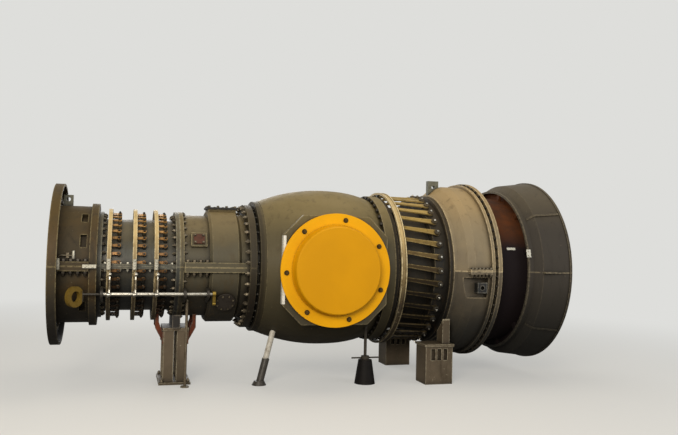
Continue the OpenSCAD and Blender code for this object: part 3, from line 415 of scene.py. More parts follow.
FINISH = {
    # Alkyd paint brushed over a sand casting: dull, chalky brown-green, paler on top with dust and
    # painted top light, and black below with oil and painted shade.
    "inlet_paint": aged("chalky_brown_green_paint", "3b3427", "47371f", "221e18", dust_and_lit_top="4b3d21",
                        oil_and_shade="262421", oil_and_shade_from=(-0.62, -0.1), rough=(0.5, 0.75), chips="6c644e",
                        chip_share=0.2, stain_share=0.8, worn_edge_highlight="7b7052", gloss=0.18),
    # Machined grey iron behind the mouth: even and dusty.
    "hub_cast": aged("dusty_machined_iron", "5a5c56", "4b4c47", "3a3630", rough=(0.45, 0.6),
                     grain_mm=2),
    # Enamel over steel, faded to blue-grey, with dust and painted top light above and a brown film
    # of oil that runs down to black, that black being painted shade too; heavy painted shade in its
    # corners.
    "compressor_paint": aged("oil_filmed_blue_grey_enamel", "3f423c", "423d30", "2b261f",
                             dust_and_lit_top="5a5138", oil_and_shade="1f2021", dust_and_light_from=(0.1, 0.5),
                             oil_and_shade_from=(-0.32, 0.12), rough=(0.35, 0.6), chips="7d7c6c",
                             chip_share=0.15, stain_share=0.9, worn_edge_highlight="7f7d6c", corner_shade="100d0a",
                             corner_shade_depth=0.95, gloss=0.35),
    # The same enamel in olive, duller, and darkened towards its rear flange; paler on top with dust
    # and painted top light, darker below with oil and painted shade.
    "rear_casing_paint": aged("oily_olive_grey_enamel", "544f3f", "4a4639", "463a26",
                              dust_and_lit_top="726341", oil_and_shade="2f2c26", dust_and_light_from=(0.15, 0.6),
                              oil_and_shade_from=(-0.4, 0.02), rough=(0.4, 0.65), chips="7d745c",
                              chip_share=0.15, stain_share=0.9, worn_edge_highlight="8f8465", gloss=0.2,
                              dark_span=(SPACER_X - 0.085, SPACER_X + 0.1)),
    # Cast bronze levers, rubbed on top, which is paler with painted top light too, and tarnished to
    # black-brown below, which is painted shade too; heavy painted shade in their corners.
    "lever_bronze": aged("tarnished_bronze", "8a6538", "6d4d29", "33220f", dust_and_lit_top="b48a50",
                         oil_and_shade="2a1e14", dust_and_light_from=(0.1, 0.5), oil_and_shade_from=(-0.3, 0.06), patch_mm=60,
                         rough=(0.35, 0.55), metallic=0.6, stain_share=0.9, corner_shade="1d130a",
                         corner_shade_depth=0.95),
    # Zinc primer on rolled rings, tan and paler on top with dust and painted top light, and greasy
    # and darker below with painted shade.
    "ring_tan": aged("greasy_tan_primer", "8d7c5a", "756442", "4d3c22", dust_and_lit_top="bfa877",
                     oil_and_shade="3a3328", dust_and_light_from=(0.05, 0.45), oil_and_shade_from=(-0.4, 0.05), patch_mm=160,
                     rough=(0.4, 0.65), chips="c9bd9c", chip_share=0.3, stain_share=0.8,
                     worn_edge_highlight="d2c39c"),
    # Mild steel blackened by oil, with its corners rubbed grey, which is a painted edge highlight
    # too.
    "dark_steel": aged("oily_black_steel", "2f3031", "262626", "40321f", patch_mm=120,
                       rough=(0.35, 0.55), metallic=0.4, worn_edge_highlight="77746a"),
    # Ground shafting: bright, with fine wear along its length.
    "bright_steel": aged("ground_steel", "b4b2aa", "94928a", "5f5748", patch_mm=90,
                         rough=(0.22, 0.4), metallic=0.9, grain_mm=1, relief_mm=0.05,
                         stain_share=0.4),
    # Heat-dulled alloy casting: olive-brown on top where dust and painted top light lie, near black
    # underneath with oil and painted shade.
    "combustion_cast": aged("heat_dulled_casting", "504935", "464131", "413724", dust_and_lit_top="7c6d46",
                            oil_and_shade="353126", dust_and_light_from=(0.2, 0.85), oil_and_shade_from=(-0.85, -0.05),
                            patch_mm=620, rough=(0.42, 0.68), metallic=0.1, chips="7d745a",
                            chip_share=0.1, stain_share=0.8, relief_mm=0.8, grain_mm=5,
                            worn_edge_highlight="8e8263", gloss=0.2,
                            dark_span=(COMBUSTION_X - 0.1, COMBUSTION_X + 0.05)),
    # Cast alloy under a scale of oxide: matt and brown-black, with dust and painted top light above
    # and oil and painted shade below.
    "turbine_dark": aged("scaled_dark_casting", "2a2720", "211f1b", "3c2e1b", dust_and_lit_top="443a2a",
                         oil_and_shade="151413", dust_and_light_from=(0.2, 0.8), patch_mm=220, rough=(0.5, 0.75),
                         metallic=0.1, stain_share=0.9, relief_mm=0.8, worn_edge_highlight="6b5f48"),
    # Forged steel under tan oxide, dusty and paler on top with painted top light, black below with
    # oil and painted shade; heavy painted shade in its corners.
    "nozzle_lever_tan": aged("tan_oxide_steel", "574524", "41341c", "2b2114", dust_and_lit_top="9e8446",
                             oil_and_shade="17130f", dust_and_light_from=(0.05, 0.65), oil_and_shade_from=(-0.3, 0.32),
                             patch_mm=90, rough=(0.4, 0.6), metallic=0.3, stain_share=0.8,
                             corner_shade="120e0a", corner_shade_depth=0.95, worn_edge_highlight="a08c5c"),
    # Shot-blasted alloy casting: pale and matt, paler on top with dust and painted top light,
    # smoked dark under the split with painted shade too.
    "outlet_grey": aged("blasted_pale_casting", "857962", "766c5a", "5d4f39", dust_and_lit_top="a08a63",
                        oil_and_shade="433f38", dust_and_light_from=(0.3, 0.95), oil_and_shade_from=(-0.9, -0.1), patch_mm=600,
                        rough=(0.5, 0.72), metallic=0.1, stain_share=0.7, relief_mm=0.5,
                        worn_edge_highlight="c9b894", gloss=0.15),
    # Heat paint on rolled sheet, smoked to a dull grey, with dust and painted top light above and
    # oil and painted shade below.
    "exhaust_grey": aged("heat_resistant_grey_paint", "3c3833", "37342f", "262320", dust_and_lit_top="554d3e",
                         oil_and_shade="292826", dust_and_light_from=(0.35, 1.0), oil_and_shade_from=(-0.8, 0.0), patch_mm=700,
                         rough=(0.5, 0.65), chips="77715f", chip_share=0.05, stain_share=0.6,
                         worn_edge_highlight="766d5a", gloss=0.15),
    # Shop enamel on welded plate, chipped down to its pale primer.
    "stand_grey": aged("worn_grey_stand_paint", "5c5142", "4c4335", "33291c", rough=(0.45, 0.65),
                       chips="857e6c", chip_share=0.35, stain_share=0.9, worn_edge_highlight="948c78"),
    # Red lead primer, faded brown and greasy.
    "stand_orange": aged("worn_red_lead_primer", "692f13", "522410", "2f1c12", patch_mm=90,
                         rough=(0.5, 0.7), chips="b3673a", chip_share=0.3, stain_share=0.9,
                         worn_edge_highlight="5e5548"),
    # Black shop paint, half gloss, with a few bare flecks.
    "jack_black": aged("black_shop_paint", "211f1e", "2b2826", "40372b", patch_mm=120,
                       rough=(0.35, 0.6), chips="57514a", chip_share=0.2, stain_share=0.5,
                       worn_edge_highlight="6d665c"),
    # Turned steel heads dulled by oil, so that only some of them glint.
    "bolt_steel": aged("dulled_bolt_steel", "746b5a", "4f483c", "2f2518", patch_mm=70,
                       rough=(0.35, 0.55), metallic=0.7, stain_share=0.7, grain_mm=1,
                       relief_mm=0.1),
    # Zinc plate coloured pale and even, a painted highlight in place of its glint, so that it shows
    # from far off even in shade.
    "zinc_plate": aged("pale_zinc_plate", "b3b1a6", "9a988c", "6a6456", patch_mm=60,
                       rough=(0.3, 0.45), metallic=0.3, stain_share=0.4, grain_mm=1,
                       relief_mm=0.05, corner_shade_depth=0.2),
    # Bare milled edge, coloured near white as a painted highlight, so that it shines out of the
    # dark casting.
    "milled_margin": aged("bright_milled_margin", "e2e0d8", "cfcdc4", "8f8a7c", patch_mm=50,
                          rough=(0.25, 0.4), metallic=0.2, stain_share=0.3, grain_mm=1,
                          relief_mm=0.05, corner_shade_depth=0.1),
    # Nuts and washers black with burnt oil, for the dark flanges.
    "burnt_bolts": aged("burnt_bolt_steel", "3a342b", "27231e", "1a1713", patch_mm=50,
                        rough=(0.4, 0.6), metallic=0.5, stain_share=0.6, grain_mm=1,
                        relief_mm=0.1),
}


def cover_paint():
    """Gloss chrome-yellow enamel on a spun steel dish. The raised middle is duller and browner
    than the rim, and painted shade darkens the crease at its edge and wherever surfaces meet."""
    material, tree, shader, place = new_finish("chrome_yellow_enamel", 0.45, 0.2)
    middle = np.array(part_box("combustor_cover")).mean(axis=0)
    centred = add(tree, "ShaderNodeMapping", {"Vector": place, "Scale": (1.0, 0.0, 1.0),
                                              "Location": (-middle[0], 0.0, -middle[2])})
    radius = add(tree, "ShaderNodeVectorMath", {0: centred.outputs["Vector"]}, operation="LENGTH")
    clouds = add(tree, "ShaderNodeTexNoise",
                 {"Vector": place, "Scale": per_mm(700), "Detail": 4.0, "Roughness": 0.5})
    cloudy = share(tree, (clouds.outputs["Fac"], 0.35, 0.65))
    # The raised middle ends at a radius of 448 mm.
    colour = coat(tree, coat(tree, "e0a300", "d69a00", cloudy),
                  coat(tree, "cd9200", "c48b00", cloudy), (radius.outputs["Value"], 0.452, 0.444))
    scuffs = add(tree, "ShaderNodeTexNoise",
                 {"Vector": place, "Scale": per_mm(30), "Detail": 9.0, "Roughness": 0.75})
    colour = coat(tree, colour, "96690a", (scuffs.outputs["Fac"], 0.68, 0.74))
    # Painted shade in the creases, within 30 mm.
    colour = with_corner_shade(tree, colour, "6a4705", 0.03, 0.9)
    orange_peel = add(tree, "ShaderNodeTexNoise",
                      {"Vector": place, "Scale": per_mm(9), "Detail": 2.0})
    show(tree, shader, colour, orange_peel.outputs["Fac"], 0.15, 0.5)
    return material


def heat_rust():
    """Stainless duct sheet after years of heat: rust-brown over the top, and near black from the
    shoulder down, blackened violet oxide and painted shade in one, in soft uneven clouds."""
    material, tree, shader, place = new_finish("heat_rusted_sheet", 0.75, 0.12)
    position = add(tree, "ShaderNodeSeparateXYZ", {"Vector": place})
    clouds = add(tree, "ShaderNodeTexNoise",
                 {"Vector": place, "Scale": per_mm(300), "Detail": 6.0,
                  "Roughness": 0.65}).outputs["Fac"]
    tide = add(tree, "ShaderNodeMath", {0: clouds, 1: 0.35, 2: position.outputs["Z"]},
               operation="MULTIPLY_ADD").outputs["Value"]
    rust = coat(tree, "4f2b13", "3b2315", (clouds, 0.4, 0.62))
    # Near black below the shoulder, violet oxide and painted shade in one; rust above.
    colour = coat(tree, "171113", rust, (tide, SHAFT_Z + 0.38, SHAFT_Z + 0.66))
    fine = add(tree, "ShaderNodeTexNoise",
               {"Vector": place, "Scale": per_mm(22), "Detail": 8.0,
                "Roughness": 0.7}).outputs["Fac"]
    show(tree, shader, coat(tree, colour, "56351c", (fine, 0.64, 0.8)), fine, 0.6, 0.7)
    return material


def banded(name, axis, first, steps, rough, gloss=0.3, metallic=0.0):
    """Worn metal that changes colour at places along an axis, with smears and painted shade in its
    corners: the first colour up to the first place, then that of each (place, colour) step."""
    material, tree, shader, place = new_finish(name, rough, gloss, metallic)
    along = add(tree, "ShaderNodeSeparateXYZ", {"Vector": place}).outputs[axis]
    smears = add(tree, "ShaderNodeTexNoise",
                 {"Vector": place, "Scale": per_mm(45), "Detail": 7.0, "Roughness": 0.7})
    colour, fade = first, 2 * MM
    for at, code in steps:
        colour = coat(tree, colour, code, (along, at - fade, at + fade))
    shade = coat(tree, "ffffff", "b3aaa0", (smears.outputs["Fac"], 0.45, 0.75))
    shaded = add(tree, "ShaderNodeMix", {0: 1.0, 6: colour, 7: shade}, data_type="RGBA",
                 blend_type="MULTIPLY")
    # Painted shade in its corners, within 40 mm.
    show(tree, shader, with_corner_shade(tree, shaded.outputs[2], "14110e", 0.04, 0.9))
    return material


FINISH["cover_yellow"] = cover_paint()
FINISH["duct_rust"] = heat_rust()

# Nodes with a finish of their own beside their slot's.
NODE_FINISH = {
    # The eye on the inlet barrel keeps its dirty yellow paint, and its bar is oiled bare steel.
    "torque_shaft_brackets": banded("yellow_eye_and_oily_plates", "X", "695520",
                                    [(FRONT_X - 0.118, "37342f")], 0.5),
    # The low blanks are brown-black with oil, those at the sides rusted, and the top one sooty.
    "bleed_covers": banded("rusted_and_sooty_blanks", "Z", "2f2a26",
                           [(SHAFT_Z - 0.1, "4a2a1c"), (SHAFT_Z + 0.57, "262422")], 0.65),
    # The prop is bright where its outer tube was wiped, and black with oil at the foot.
    "inclined_prop": banded("wiped_prop_steel", "Z", "3d3a36", [(0.27, "bdbab2")], 0.4),
    # Black cone, and above it the bare screw with its bar.
    "screw_jack": banded("painted_cone_bare_screw", "Z", "151312", [(0.25, "3f3b35")], 0.6, 0.12),
    # Grey primer on flame-cut plate.
    "lifting_lugs": banded("grey_primed_lugs", "Z", "5c5d55", [(SHAFT_Z + 0.6, "66665a")], 0.6),
    # Ground shaft, and at its rear end the brass crank.
    "torque_shaft": banded("ground_shaft_brass_crank", "X", "aeaca4", [(CRANK_X, "8f7838")], 0.3,
                           metallic=0.85),
    # Heat has turned the hub and its struts straw and brown, and the coupling is bare steel.
    "exhaust_hub": banded("heat_tinted_hub", "X", "6f5a46", [(DUCT_X + 0.35, "65594b"),
                                                          (END_X - 0.111, "8d8a84")], 0.5),
    # Oil has browned the heads that hold the yellow blank.
    "cover_bolts": aged("oil_browned_bolts", "57431f", "47371b", "2b210f", patch_mm=40,
                        rough=(0.4, 0.6), metallic=0.4, grain_mm=1, relief_mm=0.1, gloss=0.2),
    # Alloy blades that heat has tinted straw, and browner on their trailing half.
    "turbine_wheel": banded("heat_tinted_blades", "X", "8c8070",
                            [(OUTLET_X + 0.212, "6f6252")], 0.4, metallic=0.6),
    # The outlet casing's lower half, up to the split, is darkened by smoke and oil and by painted
    # shade.
    "outlet_casing_lower": aged("smoked_outlet_casting", "534d43", "5e5648", "36312a",
                                oil_and_shade="32312e", oil_and_shade_from=(-0.7, -0.1), patch_mm=420,
                                rough=(0.5, 0.7), metallic=0.1, stain_share=0.8, worn_edge_highlight="9c9078",
                                gloss=0.15),
}


def dress_cad_nodes():
    """Gives each carried-over CAD node its own finish, or else that of its material slot."""
    for part in frame["record"]["subparts"]:
        materials = frame["nodes"][part["node"]].data.materials
        materials.clear()
        materials.append(NODE_FINISH.get(part["node"]) or FINISH[part["material_slot"]])


# Fasteners

def hex_bolt(flats, height=0.72):
    """Washer and chamfered hexagon head, flats being the width across it and height its own
    height as a share of that."""
    r = flats / math.sqrt(3)
    washer = lathed([(1.25 * r, 0), (1.25 * r, 0.12 * flats)], 12)
    head = lathed([(r, 0.1 * flats), (r, (height - 0.1) * flats), (0.86 * r, height * flats)], 6)
    return joined(washer, head)


def stud_and_nut(flats):
    """Washer, nut and the end of a stud that stands out of it."""
    r = flats / math.sqrt(3)
    stud = lathed([(0.5 * r, 0.8 * flats), (0.5 * r, 1.15 * flats), (0.38 * r, 1.25 * flats)], 8)
    return joined(hex_bolt(flats, 0.85), stud)


def flange_ring(fastener, x, radius, count, direction, first):
    """Fasteners on one face of a round flange, their heads towards direction along X."""
    places, outward = round_places(x, radius, count, first)
    return copies(fastener, places, (direction, 0, 0), outward)


def split_row(head, nut, x0, x1, reach, pitch, half):
    """Heads over and nuts under the horizontal split's flanges on both sides, at reach from the
    shaft's plane, half being the thickness of one flange."""
    count = max(2, round((x1 - x0) / pitch))
    x = np.tile(np.linspace(x0 + pitch / 2, x1 - pitch / 2, count), 2)
    y = np.repeat([-reach, reach], count)
    return joined(*(copies(shape, np.column_stack([x, y, np.full(2 * count, SHAFT_Z + up * half)]),
                           (0, 0, up), X_AXIS) for shape, up in ((head, 1), (nut, -1))))


def fasten_casings():
    """Bolts and nuts of the round flanges and of the horizontal splits."""
    # The head or nut of an M24, M20 and M16 thread is 36, 30 and 24 across flats.
    m24, m20, m16 = (hex_bolt(flats * MM) for flats in (36, 30, 24))
    nut24, nut20, nut16 = (stud_and_nut(flats * MM) for flats in (36, 30, 24))
    # Fastener, flange's face, bolt circle's radius, count, direction and first angle.
    cold_rings = ((m20, INLET_X + 0.035, 0.640, 36, 1, 5),
                  (nut20, FRONT_X + 0.040, 0.506, 36, 1, 5),
                  (nut20, REAR_X - 0.040, 0.506, 36, -1, 5),
                  (nut16, REAR_X + 0.040, 0.546, 36, 1, 5),
                  (nut24, SPACER_X - 0.070, 0.628, 36, -1, 5))
    hot_rings = ((m20, TURBINE_X - 0.100, 0.790, 48, -1, 0),
                 (m16, DUCT_X - 0.045, 0.982, 60, -1, 3),
                 (m16, DUCT_X + 0.022, 0.858, 48, 1, 3.75))
    # Head, nut, both ends, distance from the shaft's plane, pitch and flange's thickness.
    inlet = (m24, nut24, INLET_X + 0.035, FRONT_X - 0.070, 0.622, 0.062, 45 * MM)
    front = (m16, nut16, FRONT_X + 0.040, REAR_X - 0.040, 0.505, 0.068, 24 * MM)
    rear = (m24, nut24, REAR_X + 0.040, REAR_X + 0.290, 0.580, 0.062, 50 * MM)
    outlet = (m20, nut20, OUTLET_X + 0.125, DUCT_X - 0.110, 0.978, 0.042, 24 * MM)
    for name, shape, finish, slot in (
            ("flange_bolts", joined(*(flange_ring(*row) for row in cold_rings)),
             "bolt_steel", "bolt_steel"),
            ("hot_flange_bolts", joined(*(flange_ring(*row) for row in hot_rings)),
             "burnt_bolts", "bolt_steel"),
            ("split_bolts", joined(split_row(*rear), split_row(*outlet)),
             "bolt_steel", "bolt_steel"),
            ("inlet_split_bolts", split_row(*inlet), "burnt_bolts", "bolt_steel"),
            # The front split's nuts are pale zinc, a painted highlight.
            ("front_split_bolts", split_row(*front), "zinc_plate", "bright_steel")):
        piece(name, shape, "engine", finish)


# Variable stator gear

def dress_vane_row(row):
    """One row of vane levers: bronze arm with a boss at each end, spindle nut, and its pin, from
    the spindle to under the unison ring."""
    node, ring = f"vane_levers_{row}", f"unison_ring_{row}"
    ring_x = corners(ring)[0][0] + RING_MIDDLE
    spindle_x = corners(node)[1][0] - 17 * MM
    length = spindle_x - ring_x
    count, seat = 40, 520 * MM
    arm = joined(
        thick_plate(rounded_lever(-length, 18 * MM, 13 * MM), 0, 10 * MM, 1.5 * MM),
        lathed(mm((19, 0), (19, 12), (16, 14)), 12),
        copies(lathed(mm((6, -1), (6, 20)), 8), np.array([-length, 0, 0]), Z_AXIS, X_AXIS))
    nut = joined(lathed(mm((12, 13), (12, 24), (10, 26)), 6),
                 lathed(mm((6, 25), (6, 30), (4, 31)), 8))
    spindles = round_places(spindle_x, seat, count, 360 / count / 2)
    levers = piece(f"lever_row_{row}", copies(arm, *spindles, X_AXIS), None, "lever_bronze",
                   smooth=40)
    piece(f"lever_nuts_{row}", copies(nut, *spindles, X_AXIS), "engine", "burnt_bolts")
    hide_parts(node)
    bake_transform(levers)


def dress_nozzle_gear():
    """Nozzle levers of the power turbine: a broad bar from a dark hub nut with a bright stud to
    the ring."""
    ring_x = sum(c[0] for c in corners("nozzle_ring")) / 2
    spindle_x = corners("nozzle_levers")[1][0] - 34 * MM
    lean = math.radians(-8)
    length = (spindle_x - ring_x) / math.cos(lean)
    count, seat = 36, 800 * MM
    points, quads = thick_plate(rounded_lever(-length, 33 * MM, 20 * MM, 0.8), 0, 16 * MM,
                                2.5 * MM)
    spin = np.array([[math.cos(lean), -math.sin(lean), 0],
                     [math.sin(lean), math.cos(lean), 0], [0, 0, 1]])
    hub = lathed(mm((33, 10), (33, 30), (25, 38)), 12)
    stud = lathed(mm((12, 36), (12, 48), (9, 51)), 8)
    spindles = round_places(spindle_x, seat, count)
    bars = piece("nozzle_bars", copies((points @ spin.T, quads), *spindles, X_AXIS), None,
                 "nozzle_lever_tan", smooth=40)
    piece("nozzle_hub_nuts", copies(hub, *spindles, X_AXIS), "engine", "turbine_dark", smooth=40)
    piece("nozzle_studs", copies(stud, *spindles, X_AXIS), "engine", "bright_steel")
    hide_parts("nozzle_levers")
    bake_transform(bars)


def dress_unison_ring(row):
    """Splice plates that join the ring's halves beside the split, the nuts on its link pins, and
    the sleeve with lock nuts by which the link is set."""
    ring, link = f"unison_ring_{row}", f"ring_link_{row}"
    low, high = corners(ring)
    x, outer = low[0] + RING_MIDDLE, high[1]
    plates = copies(block(34 * MM, 104 * MM, 15 * MM),
                    *side_places(x, 22 * MM, outer - 3 * MM), X_AXIS)
    bolt = hex_bolt(19 * MM)
    bolts = joined(*(copies(bolt, *side_places(x, z * MM, outer + 11 * MM), X_AXIS)
                     for z in (-16, 9, 35, 60)))
    # Splice plates and their bolts in pale zinc, a painted highlight.
    piece(f"ring_splice_{row}", plates, ring, "zinc_plate")
    piece(f"ring_splice_bolts_{row}", bolts, ring, "zinc_plate")

    # The link's lower eye has a radius of 18, and its upper one of 22.
    link_low, link_high = corners(link)
    middle = (link_low[0] + link_high[0]) / 2
    foot = np.array([middle, *(link_low[1:] + 18 * MM)])
    head = np.array([middle, *(link_high[1:] - 22 * MM)])
    length = np.linalg.norm(head - foot)
    start, end = 0.24 * length, 0.74 * length
    sleeve = lathed([(9.5 * MM, start), (15 * MM, start + 2 * MM), (15 * MM, start + 14 * MM),
                     (12 * MM, start + 15 * MM), (12 * MM, end - 15 * MM),
                     (15 * MM, end - 14 * MM), (15 * MM, end - 2 * MM), (9.5 * MM, end)], 12)
    piece(f"link_sleeve_{row}", copies(sleeve, foot, unit(head - foot), X_AXIS), link,
          "bolt_steel")

    nut = lathed(mm((13, 0), (13, 8), (11, 10)), 6)
    for name, body, pin in (("ring_pin_nut", ring, head), ("arm_pin_nut", "torque_shaft", foot)):
        place = np.array([high[0] - 1 * MM, *pin[1:]])
        piece(f"{name}_{row}", copies(nut, place, X_AXIS, Y_AXIS), body, "bright_steel")


# Fittings

def dress_inlet_pipe():
    """Oil pipe above the inlet's split on both sides, in a clamp, with a bright elbow where it
    enters the barrel, the pale block on the split flange below it, and the stepped bracket that
    joins the split flange to the rear one. The fittings' pale zinc colour is a painted highlight."""
    level, from_shaft, bend_r = 0.100, 0.603, 0.030
    side_y = math.sqrt(from_shaft ** 2 - level ** 2)
    start, end = INLET_X + 0.080, INLET_X + 0.215
    # From the split flange the pipe rises beside the barrel, turns and runs along it.
    rise = np.linspace((start, side_y + 0.004, 0.046), (start, side_y + 0.004, level - bend_r), 4)
    a = np.radians(np.linspace(15, 90, 6))
    turn = np.column_stack([start + bend_r * (1 - np.cos(a)), np.full(len(a), side_y),
                            level - bend_r + bend_r * np.sin(a)])
    straight = np.linspace((start + 0.045, side_y, level), (end, side_y, level), 6)
    route = np.concatenate([rise, turn, straight]) + [0, 0, SHAFT_Z]
    places, outward = side_places(start + 0.085, level, side_y)
    clamps = copies(block(26 * MM, 52 * MM, 13 * MM), places - outward * 8 * MM, outward, X_AXIS)
    pipes = joined(*(tube(route * [1, side, 1], 8 * MM, 10) for side in BOTH_SIDES), clamps)

    elbow = lathed(mm((10, -46), (13, -42), (13, 30), (10, 34)), 8)
    places, _ = side_places(end, level + 0.012, side_y)
    fittings = [copies(elbow, places, Z_AXIS, X_AXIS)]
    split_face, rear_flange, bracket_x, step_x = 0.650, 0.619, FRONT_X - 0.098, FRONT_X - 0.035
    m12 = hex_bolt(18 * MM)
    for shape, *place in (
            (block(28 * MM, 104 * MM, 14 * MM), INLET_X + 0.085, 0.022, split_face),
            (block(56 * MM, 34 * MM, 12 * MM), bracket_x, 0.002, split_face),
            (block(70 * MM, 34 * MM, 43 * MM), step_x, 0.002, rear_flange),
            (m12, bracket_x, 0.002, split_face + 11 * MM),
            (m12, step_x, 0.002, split_face + 11 * MM)):
        fittings.append(copies(shape, *side_places(*place), X_AXIS))
    piece("inlet_oil_pipe", pipes, "engine", "bolt_steel", smooth=40)
    piece("inlet_fittings", joined(*fittings), "engine", "zinc_plate", 40)


def dress_combustor_opening():
    """Machined bright margin down the front edge of the opening's flange, on both sides of the
    yellow blank, with a dowel at each end. Its near-white colour is a painted highlight."""
    face_y = corners("combustion_casing")[0][1]
    # The flange is a square with cut corners, flat being half its width.
    flat, chamfer = 0.541, 0.200
    edge_x = sum(c[0] for c in corners("combustor_cover")) / 2 - flat
    half = flat - chamfer - 6 * MM
    strip_x = edge_x + 15 * MM
    face = copies(block(2 * half, 28 * MM, 3 * MM, 1 * MM), np.array([strip_x, face_y, SHAFT_Z]),
                  (0, -1, 0), Z_AXIS)
    side = copies(block(2 * half, 46 * MM, 2 * MM, 0.8 * MM),
                  np.array([edge_x, face_y + 30 * MM, SHAFT_Z]), (-1, 0, 0), Z_AXIS)
    ends = np.array([[strip_x, face_y - 2 * MM, SHAFT_Z + up * (half - 30 * MM)]
                     for up in (-1, 1)])
    dowels = copies(lathed(mm((7, 0), (7, 4), (5, 6)), 12), ends, (0, -1, 0), X_AXIS)
    piece("opening_margin", joined(face, side, dowels), "engine", "milled_margin")


def dress_duct_joint():
    """Pale stays beside the split on both sides: a strap on the bare duct, and a lapped plate
    with two bolts on the front rim of the exhaust shell. Their pale zinc colour is a painted
    highlight."""
    duct_r, rim_r, rim_x = 0.840, 0.933, EXHAUST_X + 0.006
    m10 = hex_bolt(16 * MM)
    # Shape, place along the shaft, distance from it and angle from the top.
    stays = ((block(105 * MM, 28 * MM, 12 * MM), EXHAUST_X - 0.150, duct_r, 73),
             (block(52 * MM, 88 * MM, 9 * MM), rim_x, rim_r, 77.5),
             (m10, rim_x, rim_r + 8 * MM, 76), (m10, rim_x, rim_r + 8 * MM, 79))
    parts = [copies(shape, *round_places(x, radius, 1, -side * angle), X_AXIS)
             for side in BOTH_SIDES for shape, x, radius, angle in stays]
    piece("duct_stays", joined(*parts), "engine", "zinc_plate")


def dress_first_stage():
    """Compressor drum behind the guide vanes with its first blades and the vanes after them,
    which fill the view into the inlet."""
    drum = copies(lathed([(0.190, 0), (0.204, 0.012), (0.204, 0.420), (0.190, 0.432)], 64),
                  np.array([FRONT_X + 0.092, 0, SHAFT_Z]), X_AXIS, Y_AXIS)
    root, chord, thick = 0.198, 58 * MM, 7 * MM
    # Place behind the front flange, count, tip's radius, and the turn at root and tip.
    rows = [copies(twisted_blade(root, tip, chord, thick, turns),
                   *round_places(FRONT_X + x, 0.0, count), X_AXIS)
            for x, count, tip, turns in ((0.140, 32, 0.362, (38, 62)),
                                         (0.215, 46, 0.424, (-28, -18)),
                                         (0.290, 36, 0.420, (42, 64)))]
    piece("first_stage_blades", joined(*rows), "engine", "hub_cast", smooth=50)
    piece("compressor_drum", drum, "engine", "dark_steel", smooth=40)


def bolt_covers():
    """Bolts that hold the blank plates on the bleed chamber, and the anchor bolts of the front
    stand."""
    m12, m16 = hex_bolt(18 * MM), hex_bolt(24 * MM)
    # The plate on top of the chamber is 320 long and 330 wide, with bolts 24 inside its edge.
    top = corners("bleed_covers")[1][2]
    xs = np.linspace(REAR_X + 0.314, REAR_X + 0.586, 4)
    ys = np.linspace(-0.141, 0.141, 4)
    rim = np.array([[x, y, top] for x in xs for y in ys
                    if x in (xs[0], xs[-1]) or y in (ys[0], ys[-1])])
    parts = [copies(m16, rim, Z_AXIS, X_AXIS)]
    # Square plates at 60 degrees and round blanks at 124 degrees from the top, on both sides.
    square = mm((-40, -40), (-40, 40), (40, -40), (40, 40))
    a = np.arange(8) * FULL_TURN / 8 + 0.4
    circle = 83 * MM * np.column_stack([np.cos(a), np.sin(a)])
    for side in BOTH_SIDES:
        for angle, radius, x, spots in ((60, 0.569, REAR_X + 0.185, square),
                                        (124, 0.635, REAR_X + 0.455, circle)):
            centre, outward = round_places(x, radius, 1, -side * angle)
            plane = np.concatenate([[X_AXIS], np.cross(X_AXIS, outward)])
            parts.append(copies(m12, centre + spots @ plane, outward, X_AXIS))
    low, high = corners("front_stand")
    inset, plate = 28 * MM, 25 * MM
    feet = np.array([[x, y, plate] for x in (low[0] + inset, high[0] - inset)
                     for y in (low[1] + inset, high[1] - inset)])
    parts.append(copies(stud_and_nut(30 * MM), feet, Z_AXIS, X_AXIS))
    piece("cover_and_foot_bolts", joined(*parts), "engine", "bolt_steel")


# Studio

def camera_turn(yaw, pitch, roll):
    """Camera axes as columns: right, up and back. Yaw turns from +Y towards +X, pitch up, and
    roll leans the camera's top to its left."""
    yaw, pitch, roll = (math.radians(v) for v in (yaw, pitch, roll))
    forward = np.array([math.sin(yaw) * math.cos(pitch), math.cos(yaw) * math.cos(pitch),
                        math.sin(pitch)])
    level = np.array([math.cos(yaw), -math.sin(yaw), 0])
    top = np.cross(level, forward)
    right = level * math.cos(roll) + top * math.sin(roll)
    up = top * math.cos(roll) - level * math.sin(roll)
    return np.column_stack([right, up, -forward])


def set_up(name, data, axes, place):
    """Puts a camera or lamp at place, with its right, up and back as the columns of axes."""
    obj = bpy.data.objects.new(name, data)
    bpy.context.scene.collection.objects.link(obj)
    matrix = np.eye(4)
    matrix[:3, :3] = axes
    matrix[:3, 3] = place
    obj.matrix_world = Matrix(matrix.tolist())
    return obj


def place_camera():
    """A standing person's view from the side, at the photograph's angle."""
    focal_px, width_px = 715, 678
    data = bpy.data.cameras.new("camera")
    data.sensor_fit = "HORIZONTAL"
    data.sensor_width = 36
    data.lens = focal_px / width_px * data.sensor_width
    bpy.context.scene.camera = set_up("camera", data, camera_turn(16.7, 1.9, 1.28),
                                      (-0.54, -7.76, SHAFT_Z + 0.29))


def soft_light(name, place, aim, size, watts, tint="ffffff"):
    """A square area lamp at place, turned towards aim."""
    data = bpy.data.lights.new(name, "AREA")
    data.size = size
    data.energy = watts
    data.color = linear(tint)[:3]
    back = unit(np.array(place, dtype=float) - np.array(aim, dtype=float))
    right = unit(np.cross(Z_AXIS, back))
    set_up(name, data, np.column_stack([right, np.cross(back, right), back]), place)


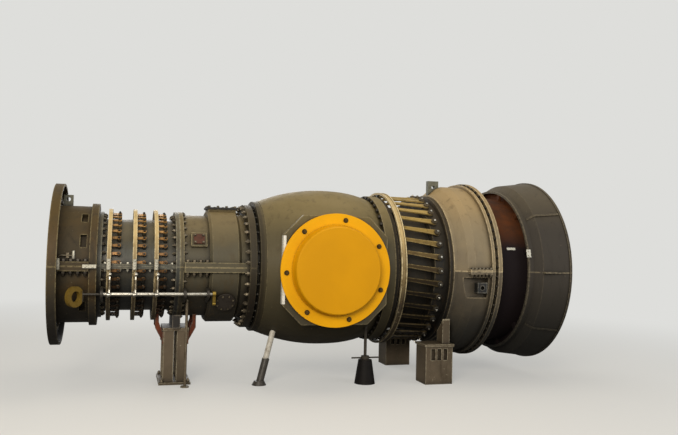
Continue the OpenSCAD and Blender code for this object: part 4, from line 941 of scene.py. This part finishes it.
def lay_floor():
    """Pale floor. The camera sees it with the object's shadow, and fading into the background
    farther out. Other rays meet a grey one, so that it throws little light up under the
    casings."""
    material = bpy.data.materials.new("pale_floor")
    tree = empty_tree(material)
    shadowed = add(tree, "ShaderNodeBsdfDiffuse", {"Color": "dcdbd7"})
    even = add(tree, "ShaderNodeEmission", {"Color": "dededb", "Strength": 1.0})
    place = add(tree, "ShaderNodeTexCoord").outputs["Object"]
    distance = add(tree, "ShaderNodeVectorMath", {0: place}, operation="LENGTH")
    far = add(tree, "ShaderNodeMapRange",
              {"Value": distance.outputs["Value"], "From Min": 3.5, "From Max": 11.0,
               "To Min": 0.45, "To Max": 1.0}, interpolation_type="SMOOTHSTEP")
    seen = add(tree, "ShaderNodeMixShader",
               {0: far.outputs["Result"], 1: shadowed.outputs["BSDF"], 2: even.outputs["Emission"]})
    unseen = add(tree, "ShaderNodeBsdfDiffuse", {"Color": "7d7c79"})
    path = add(tree, "ShaderNodeLightPath")
    look = add(tree, "ShaderNodeMixShader",
               {0: path.outputs["Is Camera Ray"], 1: unseen.outputs["BSDF"],
                2: seen.outputs["Shader"]})
    add(tree, "ShaderNodeOutputMaterial", {"Surface": look.outputs["Shader"]})
    half = 30.0
    square = half * np.array([[-1, -1, 0], [1, -1, 0], [1, 1, 0], [-1, 1, 0]], dtype=float)
    mesh_object("floor", (square, np.array([[0, 1, 2, 3]])), material)


def light_world():
    """Pale background for the eye and for what mirrors it, and a weaker even light."""
    world = bpy.data.worlds.new("studio")
    bpy.context.scene.world = world
    tree = empty_tree(world)
    path = add(tree, "ShaderNodeLightPath").outputs
    seen = path["Is Camera Ray"]
    for ray in ("Is Glossy Ray", "Is Transmission Ray"):
        seen = add(tree, "ShaderNodeMath", {0: seen, 1: path[ray]},
                   operation="MAXIMUM").outputs["Value"]
    light = add(tree, "ShaderNodeBackground", {"Color": "e9e7e2", "Strength": 0.4})
    shown = add(tree, "ShaderNodeBackground", {"Color": "dededb", "Strength": 1.0})
    both = add(tree, "ShaderNodeMixShader", {0: seen, 1: light.outputs["Background"],
                                             2: shown.outputs["Background"]})
    add(tree, "ShaderNodeOutputWorld", {"Surface": both.outputs["Shader"]})


def light_studio():
    """Plain soft light: a broad key from the camera's side and three weaker lamps round it."""
    middle, warm = (1.4, 0, 1.2), "fff4e2"
    soft_light("key", (-2.0, -8.0, 3.8), middle, 4.0, 620, warm)
    soft_light("overhead", (2.0, -0.5, 7.0), middle, 5.0, 120, warm)
    soft_light("fill", (7.5, -6.0, 3.0), middle, 4.0, 130)
    soft_light("rear", (1.0, 8.0, 4.5), middle, 4.0, 200)
    bpy.context.scene.view_settings.view_transform = "Standard"


place_camera()
lay_floor()
light_world()
light_studio()
dress_cad_nodes()
fasten_casings()
for row_number in (1, 2, 3):
    dress_vane_row(row_number)
    dress_unison_ring(row_number)
dress_nozzle_gear()
dress_inlet_pipe()
dress_combustor_opening()
dress_duct_joint()
dress_first_stage()
bolt_covers()
